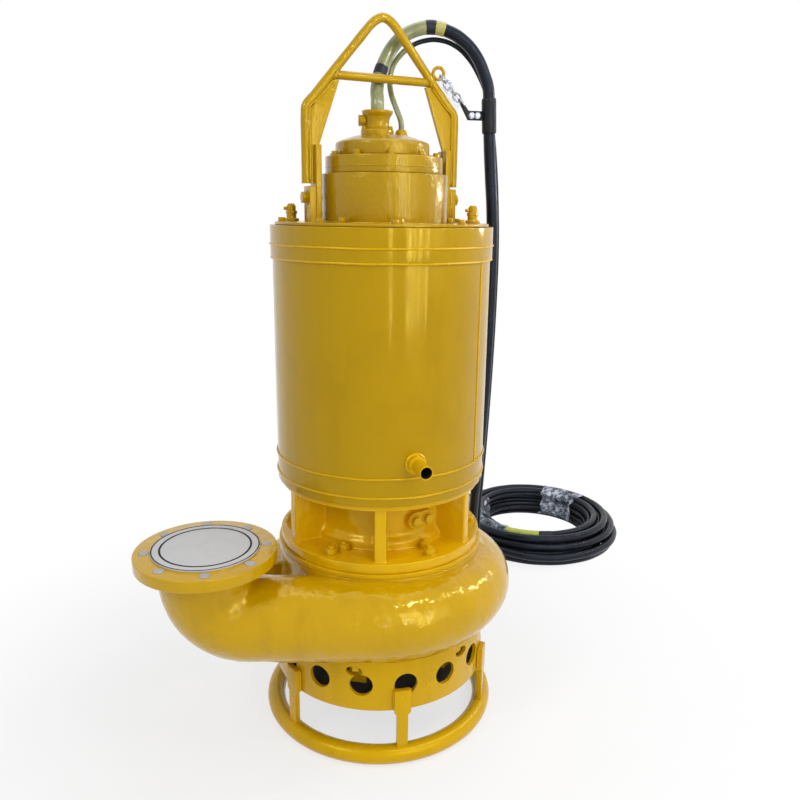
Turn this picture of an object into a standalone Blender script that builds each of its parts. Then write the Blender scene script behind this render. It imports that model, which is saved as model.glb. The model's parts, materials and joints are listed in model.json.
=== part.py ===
"""Submersible slurry pump, standing upright on its foot ring.

Metres, +Z up, the floor at z = 0. The outlet flange is at -X, the front of the pump faces -Y.
The pump's own upright axis is at AXIS, so that the origin is under the middle of the whole pump.
Angles round the axis are counted from the front, positive towards +X.
"""

import bpy
import bmesh
import math
from mathutils import Matrix, Vector

for leftover in list(bpy.data.objects):
    bpy.data.objects.remove(leftover, do_unlink=True)

# Clearances and faceting
GAP = 0.0003
OVERRUN = 0.004
BIG_SIDES = 32
MID_SIDES = 24
HIDDEN_SIDES = 16
SMALL_SIDES = 12
PIPE_SIDES = 16
BORE_SIDES = 10
EDGE = 0.002

# Driving sizes: the impeller sets the casing and all below it, the motor housing sets the jacket
IMPELLER_D = 0.336
HOUSING_RADIUS = 0.190
CASING_SEAT_Z = 0.238
CASING_TOP_Z = 0.4205
JACKET_TOP_Z = 1.122
CASING_PLAY = 0.008
CHAMBER_RADIUS = IMPELLER_D / 2 + CASING_PLAY
CASING_EDGE = 0.050
DRUM_RADIUS = CHAMBER_RADIUS + CASING_EDGE
RIM_OVERHANG = 0.006
RIM_RADIUS = DRUM_RADIUS + RIM_OVERHANG
SEAT_OVERHANG = 0.014
SEAT_FLANGE_RADIUS = DRUM_RADIUS + SEAT_OVERHANG
WATER_SPACE = 0.034
JACKET_WALL = 0.006
JACKET_RADIUS = HOUSING_RADIUS + WATER_SPACE + JACKET_WALL

# Foot ring and its legs
RING_OVERHANG = 0.009
RING_RADIUS = SEAT_FLANGE_RADIUS + RING_OVERHANG
RING_BAR = 0.041
LEG_COUNT = 6
LEG_FIRST = math.radians(13)
LEG_WIDTH = 0.024
LEG_THICKNESS = 0.012
LEG_PAD_WIDTH = 0.036
LEG_PAD_DROP = 0.002
LEG_PAD_HEIGHT = 0.055

# Strainer
STRAINER_OVERHANG = 0.004
STRAINER_RADIUS = SEAT_FLANGE_RADIUS + STRAINER_OVERHANG
STRAINER_WALL = 0.008
STRAINER_HEIGHT = 0.115
STRAINER_FOOT_Z = CASING_SEAT_Z - STRAINER_HEIGHT
STRAINER_FLANGE_DEPTH = 0.037
STRAINER_FLANGE_BORE = SEAT_FLANGE_RADIUS - STRAINER_FLANGE_DEPTH
STRAINER_FLANGE = 0.012
HOLE_COUNT = 16
HOLE_FIRST = math.radians(-7.4)
HOLE_D = 0.050
HOLE_RISE = 0.060
HOLE_Z = STRAINER_FOOT_Z + HOLE_RISE
NOTCH_COUNT = 6
NOTCH_FIRST = math.radians(-11)
NOTCH_WIDTH = 0.036
NOTCH_HEIGHT = 0.022
LUG_WIDTH = 0.038
LUG_THICKNESS = 0.007
LUG_DROP = 0.060

# Casing: the passage winds round the axis, leaves straight along -X, then turns up
PASSAGE_RISE = 0.094
PASSAGE_Z = CASING_SEAT_Z + PASSAGE_RISE
RIM_THICKNESS = 0.016
SEAT_FLANGE = 0.012
SPIRAL_SWEEP = math.radians(285)
THROAT_BORE = 0.150
TONGUE_BORE = 0.056
CASING_WALL = 0.012
THROAT_OFFSET = 0.054
THROAT_PATH_RADIUS = CHAMBER_RADIUS + THROAT_OFFSET
TONGUE_OFFSET = 0.064
TONGUE_PATH_RADIUS = CHAMBER_RADIUS + TONGUE_OFFSET
CHAMBER_HEIGHT = 0.102
SLOT_DEPTH = 0.040
SLOT_RADIUS = CHAMBER_RADIUS + SLOT_DEPTH
SLOT_HEIGHT = 0.052
TOP_PLAY = 0.014
TOP_OPENING = CHAMBER_RADIUS + TOP_PLAY
SUCTION_PLAY = 0.004
SUCTION_OPENING = CHAMBER_RADIUS + SUCTION_PLAY
OUTLET_X = -0.3455
ELBOW_RADIUS = 0.099
ELBOW_SWELL_SHARE = 0.06
NECK_WALL = 0.022
FLANGE_D = 0.285
FLANGE_THICKNESS = 0.026
FLANGE_RISE = 0.155
FLANGE_TOP_Z = PASSAGE_Z + FLANGE_RISE
RAISED_FACE = 0.0015
RAISED_FACE_RADIUS = 0.1085
FLANGE_BOLT_CIRCLE = 0.240
FLANGE_HOLE = 0.022
FLANGE_HOLES = 8
FLANGE_HOLE_FIRST = math.radians(13)
COVER_RADIUS = 0.108
COVER_THICKNESS = 0.003

# Suction cover, back plate and shaft seal
COVER_FLANGE_DEPTH = 0.018
COVER_FLANGE_RADIUS = SUCTION_OPENING + COVER_FLANGE_DEPTH
COVER_FLANGE = 0.012
SUCTION_BORE = 0.160
SUCTION_MOUTH = 0.196
BACK_PLATE_FLANGE = 0.010
SEAL_BORE = 0.0505
SEAL_RING_RADIUS = 0.046
SEAL_FACE_RISE = 0.023
SEAL_FACE_Z = CASING_TOP_Z + SEAL_FACE_RISE
SEAL_HEIGHT = 0.020

# Bracket with its six ribs, on the casing
BRACKET_STEP = 0.0055
BRACKET_FLANGE_RADIUS = RIM_RADIUS - BRACKET_STEP
BRACKET_FLANGE = 0.021
BRACKET_RADIUS = 0.146
BRACKET_FOOT_RADIUS = 0.160
BRACKET_FOOT_HEIGHT = 0.022
BRACKET_BORE = 0.118
BRACKET_HEIGHT = 0.1475
BRACKET_INSET = 0.008
BRACKET_TOP_RADIUS = JACKET_RADIUS - BRACKET_INSET
BRACKET_TOP = 0.012
RIB_COUNT = 6
RIB_FIRST = math.radians(1.8)
RIB_INSET = 0.0095
RIB_RADIUS = BRACKET_FLANGE_RADIUS - RIB_INSET
RIB_THICKNESS = 0.025
OIL_ANGLE = math.radians(35)
OIL_RISE = 0.0925
OIL_Z = CASING_TOP_Z + OIL_RISE
OIL_WIDTH = 0.066
OIL_HEIGHT = 0.036
OIL_PLATE = 0.010
OIL_HEX = 0.022
OIL_HEAD = 0.008
OIL_SPACING = 0.032

# Shaft, impeller, agitator
SHAFT_DROP = 0.062
SHAFT_FOOT_Z = CASING_SEAT_Z - SHAFT_DROP
SHAFT_INSET = 0.022
SHAFT_TOP_Z = JACKET_TOP_Z - SHAFT_INSET
SHAFT_TIP = 0.036
SHAFT_WET = 0.050
SHAFT_SEAL = 0.060
SHAFT_BEARING = 0.065
SHAFT_BODY = 0.074
SHAFT_UPPER = 0.055
IMPELLER_RUNNING = 0.003
IMPELLER_HUB = 0.100
IMPELLER_SHROUD = 0.010
IMPELLER_EYE = 0.164
VANE_COUNT = 4
VANE_THICKNESS = 0.014
VANE_INNER_RADIUS = 0.058
VANE_SWEEP = math.radians(105)
VANE_POINTS = 7
AGITATOR_RADIUS = 0.094
AGITATOR_HUB = 0.066
AGITATOR_DROP = 0.016
AGITATOR_Z = SHAFT_FOOT_Z - AGITATOR_DROP
AGITATOR_HEIGHT = 0.092
BLADE_COUNT = 3
BLADE_HEIGHT = 0.046
BLADE_THICKNESS = 0.012
BLADE_PITCH = math.radians(28)
AGITATOR_NUT_HEX = 0.041
AGITATOR_NUT = 0.014

# Bearings
LOWER_BEARING_RISE = 0.0945
LOWER_BEARING_Z = CASING_TOP_Z + LOWER_BEARING_RISE
BEARING_WIDTH = 0.033
BEARING_OD = 0.140
UPPER_BEARING_DROP = 0.056
UPPER_BEARING_Z = JACKET_TOP_Z - UPPER_BEARING_DROP
UPPER_BEARING_OD = 0.120
UPPER_BEARING_WIDTH = 0.026
OUTER_RACE_SHARE = 0.26
INNER_RACE_SHARE = 0.31
BALL_COUNT = 7
BALL_SHARE = 0.205
CAGE_SHARE = 0.30

# Motor
JACKET_SILL = 0.012
JACKET_SILL_DEPTH = 0.024
JACKET_SILL_BORE = JACKET_RADIUS - JACKET_WALL - JACKET_SILL_DEPTH
BAND_THICKNESS = 0.004
BAND_RADIUS = JACKET_RADIUS + BAND_THICKNESS
BAND_HEIGHT = 0.0645
BAND_FOOT_Z = JACKET_TOP_Z - BAND_HEIGHT
HOUSING_WALL = 0.009
HOUSING_FOOT = 0.014
STATOR_HEAD = 0.402
STATOR_FOOT_Z = JACKET_TOP_Z - STATOR_HEAD
STATOR_HEIGHT = 0.260
STATOR_DEPTH = 0.075
STATOR_BORE = (HOUSING_RADIUS - HOUSING_WALL - STATOR_DEPTH) * 2
AIR_GAP = 0.0025
WINDING_HEIGHT = 0.062
WINDING_PLAY = 0.011
WINDING_OUTER = HOUSING_RADIUS - HOUSING_WALL - WINDING_PLAY
WINDING_STEP = 0.010
WINDING_INNER = STATOR_BORE / 2 + WINDING_STEP
ROTOR_OVERHANG = 0.006
TOP_COVER_RADIUS = JACKET_RADIUS - JACKET_WALL
TOP_COVER = 0.006
TOP_BOSS_RADIUS = 0.085
NIPPLE_ANGLE = math.radians(19)
NIPPLE_Z = 0.668
NIPPLE_D = 0.028
NIPPLE_WALL = 0.003
NIPPLE_LENGTH = 0.062
NIPPLE_COLLAR = 0.042
NIPPLE_COLLAR_LENGTH = 0.014
PLUG_INSET = 0.034
PLUG_REACH = TOP_COVER_RADIUS - PLUG_INSET
PLUG_ANGLES = {"left": math.radians(-88), "right": math.radians(88)}
PLUG_D = 0.020
PLUG_HEIGHT = 0.036
PLUG_FLANGE_D = 0.032
PLUG_FLANGE = 0.006

# Terminal chamber and its lids
CHAMBER_X = 0.005
TERMINAL_RADIUS = 0.1315
TERMINAL_WALL = 0.010
TERMINAL_HEIGHT = 0.095
TERMINAL_FOOT = 0.008
TERMINAL_FOOT_BORE = 0.096
LID_X = 0.0035
LID_RADIUS = 0.1215
LID_HEIGHT = 0.034
LID_BORE = 0.080
CAP_RADIUS = 0.097
CAP_SKIRT = 0.027
CAP_RISE = 0.0135
CAP_FLAT = 0.062
CAP_BORE = 0.020

# Cable glands
GLAND_X = -0.011
GLAND_HEIGHT = 0.050
GLAND_LIP = 0.032
GLAND_WAIST = 0.0245
GLAND_BASE = 0.034
GLAND_LUG_WIDTH = 0.016
GLAND_LUG_HEIGHT = 0.021
GLAND_LUG_LENGTH = 0.014
SMALL_GLAND_X = 0.038
SMALL_GLAND_Y = 0.020
SMALL_GLAND_RADIUS = 0.0125
SMALL_GLAND_HEIGHT = 0.016

# Lifting bail, built in its own upright plane and turned
BAIL_TURN = math.radians(24)
BAIL_BAR = 0.018
BAIL_REACH = 0.1645
BAIL_FOOT_RISE = 0.081
BAIL_FOOT_Z = JACKET_TOP_Z + BAIL_FOOT_RISE
BAIL_KINK_RISE = 0.147
BAIL_KINK_Z = BAIL_FOOT_Z + BAIL_KINK_RISE
BAIL_RISE = 0.1735
BAIL_TOP_Z = BAIL_KINK_Z + BAIL_RISE
BAIL_CROWN = 0.014
BAIL_CROWN_DROP = 0.0075
CROSSBAR = 0.017
CROSSBAR_RISE = 0.060
CROSSBAR_Z = BAIL_KINK_Z + CROSSBAR_RISE
SIDE_PLATE = 0.010
SIDE_PLATE_INNER_TOP = 0.094
SIDE_PLATE_INNER_FOOT = 0.1375
SIDE_PLATE_KNEE_RISE = 0.074
SIDE_PLATE_KNEE_Z = BAIL_FOOT_Z + SIDE_PLATE_KNEE_RISE
STRAP_THICKNESS = 0.012
STRAP_WIDTH = 0.040
BAIL_LUG_THICKNESS = 0.014
BAIL_LUG_HEIGHT = 0.070
BAIL_BOLT_DROP = 0.027
BAIL_BOLT_Z = BAIL_FOOT_Z - BAIL_BOLT_DROP
BAIL_HEX = 0.024
BAIL_HEAD = 0.011

# Eye, chain and cable clamp
EYE_STANDOFF = 0.03085
EYE_RISE = 0.0199
EYE_Z = CROSSBAR_Z + EYE_RISE
EYE_RADIUS = 0.0115
EYE_BAR = 0.007
EYE_POINTS = 14
LINK_COUNT = 5
LINK_BAR = 0.0045
LINK_WIDTH = 0.018
LINK_PLAY = 0.0014
CLAMP_PLATE = 0.004
CLAMP_HOLE = 0.012
CLAMP_RADIUS = 0.0185
CLAMP_PLAY = 0.0018
CLAMP_LENGTH = 0.070
CLAMP_ARM = 0.046
CLAMP_ARM_DEPTH = 0.019
CLAMP_TIP_LENGTH = 0.064
CLAMP_TIP_RISE = 0.026

# Cables
CABLE_D = 0.025
POWER_STEP = 0.046
CONTROL_STEP = 0.038
CONTROL_D = 0.010
COIL_X = 0.540
COIL_Y = 0.955
COIL_INNER = 0.150
COIL_OUTER = 0.304
COIL_HEIGHT = 0.104
POWER_END_Y = 0.8450
CONTROL_END_Y = 0.8470

collection = bpy.data.collections.new("slurry_pump")
bpy.context.scene.collection.children.link(collection)
cutters = bpy.data.collections.new("cutters")
bpy.context.scene.collection.children.link(cutters)


# Places on the spiral, shared by the casing and by the origin

def spiral_station(share):
    """Angle from the front, path radius and bore radius, from the tongue (0) to the throat (1)."""
    angle = SPIRAL_SWEEP * (1 - share)
    reach = TONGUE_PATH_RADIUS + (THROAT_PATH_RADIUS - TONGUE_PATH_RADIUS) * share
    bore = (TONGUE_BORE + (THROAT_BORE - TONGUE_BORE) * share ** 1.25) / 2
    return angle, reach, bore


def spiral_reach(direction):
    """How far the outer casing reaches from the pump's axis in a direction of the floor plane."""
    best = 0.0
    for i in range(SPIRAL_SECTIONS + 1):
        angle, reach, bore = spiral_station(i / SPIRAL_SECTIONS)
        place = Vector((math.sin(angle), -math.cos(angle))) * (reach + bore + CASING_WALL)
        best = max(best, place.dot(direction))
    return best


SPIRAL_SECTIONS = 18
AXIS = Vector((
    (-OUTLET_X + FLANGE_D / 2 - spiral_reach(Vector((1, 0)))) / 2,
    (THROAT_PATH_RADIUS + FLANGE_D / 2 - spiral_reach(Vector((0, 1)))) / 2,
    0))

pump_axis = bpy.data.objects.new("pump_axis", None)
pump_axis.location = AXIS
collection.objects.link(pump_axis)
rotor_axis = bpy.data.objects.new("rotor_axis", None)
rotor_axis.location = AXIS
collection.objects.link(rotor_axis)


# Materials

def make_material(name, colour, roughness, metallic):
    material = bpy.data.materials.new(name)
    material.use_nodes = True
    shader = material.node_tree.nodes["Principled BSDF"]
    shader.inputs["Base Color"].default_value = (*colour, 1)
    shader.inputs["Roughness"].default_value = roughness
    shader.inputs["Metallic"].default_value = metallic
    return material


YELLOW = make_material("yellow_paint", (0.72, 0.42, 0.01), 0.25, 0.0)
CAST = make_material("hard_iron", (0.20, 0.20, 0.21), 0.55, 0.8)
STEEL = make_material("bright_steel", (0.55, 0.56, 0.57), 0.3, 1.0)
LAMINATION = make_material("stator_steel", (0.30, 0.31, 0.33), 0.45, 0.9)
COPPER = make_material("winding_copper", (0.55, 0.20, 0.07), 0.4, 0.9)
COVER_GREY = make_material("cover_plastic", (0.62, 0.63, 0.64), 0.5, 0.0)
CARBON = make_material("seal_carbon", (0.03, 0.03, 0.03), 0.4, 0.0)
DARK_STEEL = make_material("dark_steel", (0.03, 0.03, 0.035), 0.4, 0.3)
RUBBER = make_material("cable_rubber", (0.012, 0.012, 0.013), 0.45, 0.0)


# Shape helpers

def around(angle, reach, height=0.0):
    """A point at an angle from the front and a reach from the axis."""
    return Vector((reach * math.sin(angle), -reach * math.cos(angle), height))


def add(name, mesh, material, parent=pump_axis, place=(0, 0, 0), turn=0.0):
    """Links a mesh as a named piece, turned about Z and placed from its parent."""
    obj = bpy.data.objects.new(name, mesh)
    mesh.materials.clear()
    mesh.materials.append(material)
    obj.parent = parent
    obj.location = place
    obj.rotation_euler = (0, 0, turn)
    collection.objects.link(obj)
    return obj


def hide(obj):
    """Moves a helper to the cutters, out of sight."""
    for owner in list(obj.users_collection):
        owner.objects.unlink(obj)
    cutters.objects.link(obj)
    obj.hide_render = True
    obj.display_type = "WIRE"
    return obj


def boolean(obj, helper, operation):
    step = obj.modifiers.new(operation.lower(), "BOOLEAN")
    step.operation = operation
    step.object = hide(helper)
    step.solver = "EXACT"


def cut(obj, helper):
    boolean(obj, helper, "DIFFERENCE")


def join(obj, helper):
    boolean(obj, helper, "UNION")


def smooth(mesh, angle=math.radians(35)):
    mesh.shade_smooth()
    mesh.set_sharp_from_angle(angle=angle)


def turned(name, outline, material, sides=BIG_SIDES, closed=False, parent=pump_axis, place=(0, 0, 0)):
    """Turns an outline of (radius, height) points about Z. The outline runs down its outer side."""
    mesh = bpy.data.meshes.new(name)
    points = [(radius, 0, height) for radius, height in outline]
    edges = [(i, i + 1) for i in range(len(points) - 1)]
    if closed:
        edges.append((len(points) - 1, 0))
    mesh.from_pydata(points, edges, [])
    obj = add(name, mesh, material, parent, place)
    screw = obj.modifiers.new("screw", "SCREW")
    screw.axis = "Z"
    screw.angle = math.tau
    screw.steps = sides
    screw.render_steps = sides
    screw.use_merge_vertices = True
    screw.merge_threshold = 0.00005
    screw.use_smooth_shade = True
    return obj


def ring(name, inner, outer, foot, top, material, sides=BIG_SIDES, edge=0.0, parent=pump_axis, place=(0, 0, 0)):
    """A flat ring or tube, with its outer edges broken."""
    outline = [(outer - edge, top), (outer, top - edge), (outer, foot + edge), (outer - edge, foot)]
    if edge == 0.0:
        outline = [(outer, top), (outer, foot)]
    outline += [(inner, foot), (inner, top)]
    return turned(name, outline, material, sides, True, parent, place)


def cylinder(name, radius, foot, top, material=CAST, sides=BIG_SIDES, parent=pump_axis, place=(0, 0, 0)):
    """A solid upright cylinder from one height to another."""
    bm = bmesh.new()
    bmesh.ops.create_cone(bm, cap_ends=True, segments=sides, radius1=radius, radius2=radius, depth=top - foot,
                          matrix=Matrix.Translation((0, 0, (foot + top) / 2)))
    mesh = bpy.data.meshes.new(name)
    bm.to_mesh(mesh)
    bm.free()
    smooth(mesh)
    return add(name, mesh, material, parent, place)


def rod(name, radius, start, end, material=CAST, sides=SMALL_SIDES, parent=pump_axis):
    """A solid round rod between two points."""
    start = Vector(start)
    end = Vector(end)
    obj = cylinder(name, radius, 0, (end - start).length, material, sides, parent, start)
    obj.rotation_euler = (end - start).to_track_quat("Z", "Y").to_euler()
    return obj


def box(name, size, centre, material=CAST, turn=0.0, parent=pump_axis):
    bm = bmesh.new()
    bmesh.ops.create_cube(bm, size=1)
    bmesh.ops.scale(bm, vec=size, verts=bm.verts)
    mesh = bpy.data.meshes.new(name)
    bm.to_mesh(mesh)
    bm.free()
    return add(name, mesh, material, parent, centre, turn)


def hexagon(name, across, foot, top, material, place=(0, 0, 0), parent=pump_axis):
    """A hexagon head or nut, across its flats, from one height to another."""
    return cylinder(name, across / math.sqrt(3), foot, top, material, 6, parent, place)


def plate(name, outline, thickness, material, parent=pump_axis, place=(0, 0, 0), rotation=(0, 0, 0)):
    """A flat outline of (x, y) points as a plate, centred on its own plane."""
    curve = bpy.data.curves.new(name, "CURVE")
    curve.dimensions = "2D"
    curve.fill_mode = "BOTH"
    curve.extrude = thickness / 2
    spline = curve.splines.new("POLY")
    spline.points.add(len(outline) - 1)
    for point, (x, y) in zip(spline.points, outline):
        point.co = (x, y, 0, 1)
    spline.use_cyclic_u = True
    return solid_from_curve(name, curve, material, parent, place, rotation)


def bar(name, points, diameter, material, parent=pump_axis, resolution=3, closed=False, place=(0, 0, 0),
        rotation=(0, 0, 0), keep_curve=False):
    """A round bar along a list of points."""
    curve = bpy.data.curves.new(name, "CURVE")
    curve.dimensions = "3D"
    curve.bevel_depth = diameter / 2
    curve.bevel_resolution = resolution
    curve.use_fill_caps = not closed
    spline = curve.splines.new("POLY")
    spline.points.add(len(points) - 1)
    for point, place_of in zip(spline.points, points):
        point.co = (*place_of, 1)
    spline.use_cyclic_u = closed
    if keep_curve:
        return add_curve(name, curve, material, parent, place, rotation)
    return solid_from_curve(name, curve, material, parent, place, rotation)


def add_curve(name, curve, material, parent, place, rotation):
    curve.materials.append(material)
    obj = bpy.data.objects.new(name, curve)
    obj.parent = parent
    obj.location = place
    obj.rotation_euler = rotation
    collection.objects.link(obj)
    return obj


def solid_from_curve(name, curve, material, parent, place, rotation):
    """The mesh of a curve, its caps welded, as a piece that Booleans can take."""
    draft = bpy.data.objects.new(name + "_draft", curve)
    bpy.context.scene.collection.objects.link(draft)
    bpy.context.view_layer.update()
    mesh = bpy.data.meshes.new_from_object(draft.evaluated_get(bpy.context.evaluated_depsgraph_get()))
    bpy.data.objects.remove(draft, do_unlink=True)
    bm = bmesh.new()
    bm.from_mesh(mesh)
    bmesh.ops.remove_doubles(bm, verts=bm.verts, dist=0.00005)
    bm.to_mesh(mesh)
    bm.free()
    mesh.name = name
    smooth(mesh)
    obj = add(name, mesh, material, parent, place)
    obj.rotation_euler = rotation
    return obj


def loft(name, sections, material):
    """Skins a row of round sections that all have as many points, and caps both ends."""
    bm = bmesh.new()
    rows = [[bm.verts.new(point) for point in section] for section in sections]
    for row, after in zip(rows, rows[1:]):
        for i in range(len(row)):
            j = (i + 1) % len(row)
            bm.faces.new((row[i], row[j], after[j], after[i]))
    bm.faces.new(list(reversed(rows[0])))
    bm.faces.new(rows[-1])
    bmesh.ops.recalc_face_normals(bm, faces=bm.faces)
    mesh = bpy.data.meshes.new(name)
    bm.to_mesh(mesh)
    bm.free()
    smooth(mesh)
    return add(name, mesh, material)


def section(centre, across, up, radius, sides, stretch=1.0):
    """Points of a round section, stretched along its first direction."""
    points = []
    for i in range(sides):
        angle = math.tau * i / sides
        points.append(centre + across * (radius * stretch * math.cos(angle)) + up * (radius * math.sin(angle)))
    return points


def bail_point(along, height, across=0.0):
    """A point in the bail's turned plane: along it, up, and square to it."""
    c = math.cos(BAIL_TURN)
    s = math.sin(BAIL_TURN)
    return Vector((along * c - across * s, along * s + across * c, height))


def smooth_route(points, spacing):
    """Points at an even spacing along a smooth curve through the given points."""
    knots = [Vector(point) for point in points]
    padded = [knots[0] * 2 - knots[1]] + knots + [knots[-1] * 2 - knots[-2]]
    fine = []
    for before, start, end, after in zip(padded, padded[1:], padded[2:], padded[3:]):
        for i in range(20):
            t = i / 20
            fine.append(0.5 * (start * 2 + (end - before) * t + (before * 2 - start * 5 + end * 4 - after) * t ** 2
                               + (start * 3 - before - end * 3 + after) * t ** 3))
    fine.append(knots[-1])
    lengths = [0.0]
    for a, b in zip(fine, fine[1:]):
        lengths.append(lengths[-1] + (b - a).length)
    count = max(2, round(lengths[-1] / spacing))
    route = []
    index = 0
    for i in range(count + 1):
        target = lengths[-1] * i / count
        while index < len(lengths) - 2 and lengths[index + 1] < target:
            index += 1
        share = (target - lengths[index]) / (lengths[index + 1] - lengths[index])
        route.append(fine[index].lerp(fine[index + 1], min(share, 1.0)))
    return route


# Foot ring and legs

def make_foot_ring():
    bpy.ops.mesh.primitive_torus_add(major_radius=RING_RADIUS, minor_radius=RING_BAR / 2,
                                     major_segments=BIG_SIDES, minor_segments=8)
    ring_obj = bpy.context.object
    mesh = ring_obj.data
    bpy.data.objects.remove(ring_obj, do_unlink=True)
    smooth(mesh)
    add("foot_ring", mesh, YELLOW, place=(0, 0, RING_BAR / 2))


def make_legs():
    """Flat bars from the ring up the outside of the strainer, each with a wider head."""
    foot = RING_BAR + GAP
    pad_foot = STRAINER_FOOT_Z - LEG_PAD_DROP
    top = pad_foot + LEG_PAD_HEIGHT
    half = LEG_WIDTH / 2
    pad = LEG_PAD_WIDTH / 2
    outline = [(-half, foot), (half, foot), (half, pad_foot), (pad, pad_foot), (pad, top - EDGE), (pad - EDGE, top),
               (EDGE - pad, top), (-pad, top - EDGE), (-pad, pad_foot), (-half, pad_foot)]
    for i in range(LEG_COUNT):
        angle = LEG_FIRST + math.tau * i / LEG_COUNT
        place = around(angle, STRAINER_RADIUS + GAP + LEG_THICKNESS / 2)
        plate(f"strainer_leg_{i + 1}", outline, LEG_THICKNESS, YELLOW, place=place, rotation=(math.pi / 2, 0, angle))


def make_strainer():
    """A band with round holes, an inner flange at its top, a notch over each bolt and a lug inside it."""
    top = CASING_SEAT_Z - GAP
    inner = STRAINER_RADIUS - STRAINER_WALL
    outline = [(STRAINER_RADIUS, top), (STRAINER_RADIUS, STRAINER_FOOT_Z), (inner, STRAINER_FOOT_Z),
               (inner, top - STRAINER_FLANGE), (STRAINER_FLANGE_BORE, top - STRAINER_FLANGE),
               (STRAINER_FLANGE_BORE, top)]
    strainer = turned("strainer_basket", outline, YELLOW, BIG_SIDES, True)
    for i in range(HOLE_COUNT):
        angle = HOLE_FIRST + math.tau * i / HOLE_COUNT
        start = around(angle, inner - OVERRUN, HOLE_Z)
        end = around(angle, STRAINER_RADIUS + OVERRUN, HOLE_Z)
        cut(strainer, rod(f"strainer_hole_{i}", HOLE_D / 2, start, end))
    under = top - STRAINER_FLANGE
    for i in range(NOTCH_COUNT):
        angle = NOTCH_FIRST + math.tau * i / NOTCH_COUNT
        size = (NOTCH_WIDTH, STRAINER_WALL + OVERRUN, NOTCH_HEIGHT)
        place = around(angle, STRAINER_RADIUS - STRAINER_WALL / 2, under - NOTCH_HEIGHT / 2)
        cut(strainer, box(f"strainer_notch_{i}", size, place, turn=angle))
        size = (LUG_WIDTH, LUG_THICKNESS, LUG_DROP + GAP)
        reach = STRAINER_FLANGE_BORE + LUG_THICKNESS / 2
        lug_place = around(angle, reach, under - LUG_DROP / 2)
        join(strainer, box(f"strainer_lug_{i}", size, lug_place, turn=angle))


# Casing

def passage_sections(wall, sides, start_trim, end_trim):
    """Sections of the water passage, or of the metal round it when a wall is given."""
    rows = []
    up = Vector((0, 0, 1))
    for i in range(SPIRAL_SECTIONS + 1):
        angle, reach, bore = spiral_station(i / SPIRAL_SECTIONS)
        outward = around(angle, 1)
        rows.append(section(outward * reach + up * PASSAGE_Z, outward, up, bore + wall, sides))
    rows[0] = [point + start_trim * Vector((math.cos(SPIRAL_SWEEP), math.sin(SPIRAL_SWEEP), 0)) for point in rows[0]]
    front = Vector((0, -1, 0))
    line = -THROAT_PATH_RADIUS
    bore = THROAT_BORE / 2
    bend_x = OUTLET_X + ELBOW_RADIUS
    for share in (0.35, 0.7):
        centre = Vector((bend_x * share, line, PASSAGE_Z))
        rows.append(section(centre, front, up, bore + wall, sides))
    bends = 6
    for i in range(bends + 1):
        turn = math.pi / 2 * i / bends
        swell = 1 + ELBOW_SWELL_SHARE * math.sin(2 * turn)
        outward = Vector((-math.sin(turn), 0, -math.cos(turn)))
        grown = wall + (NECK_WALL - CASING_WALL) * (turn / (math.pi / 2)) * (wall > 0)
        shift = outward * (ELBOW_RADIUS + (swell - 1) * bore)
        centre = Vector((bend_x, line, PASSAGE_Z + ELBOW_RADIUS)) + shift
        rows.append(section(centre, front, -outward, bore + grown, sides))
    end = FLANGE_TOP_Z - FLANGE_THICKNESS / 2 if wall > 0 else FLANGE_TOP_Z + end_trim
    radius = bore + (NECK_WALL if wall > 0 else 0)
    rows.append(section(Vector((OUTLET_X, line, end)), front, Vector((1, 0, 0)), radius, sides))
    return rows


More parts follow.
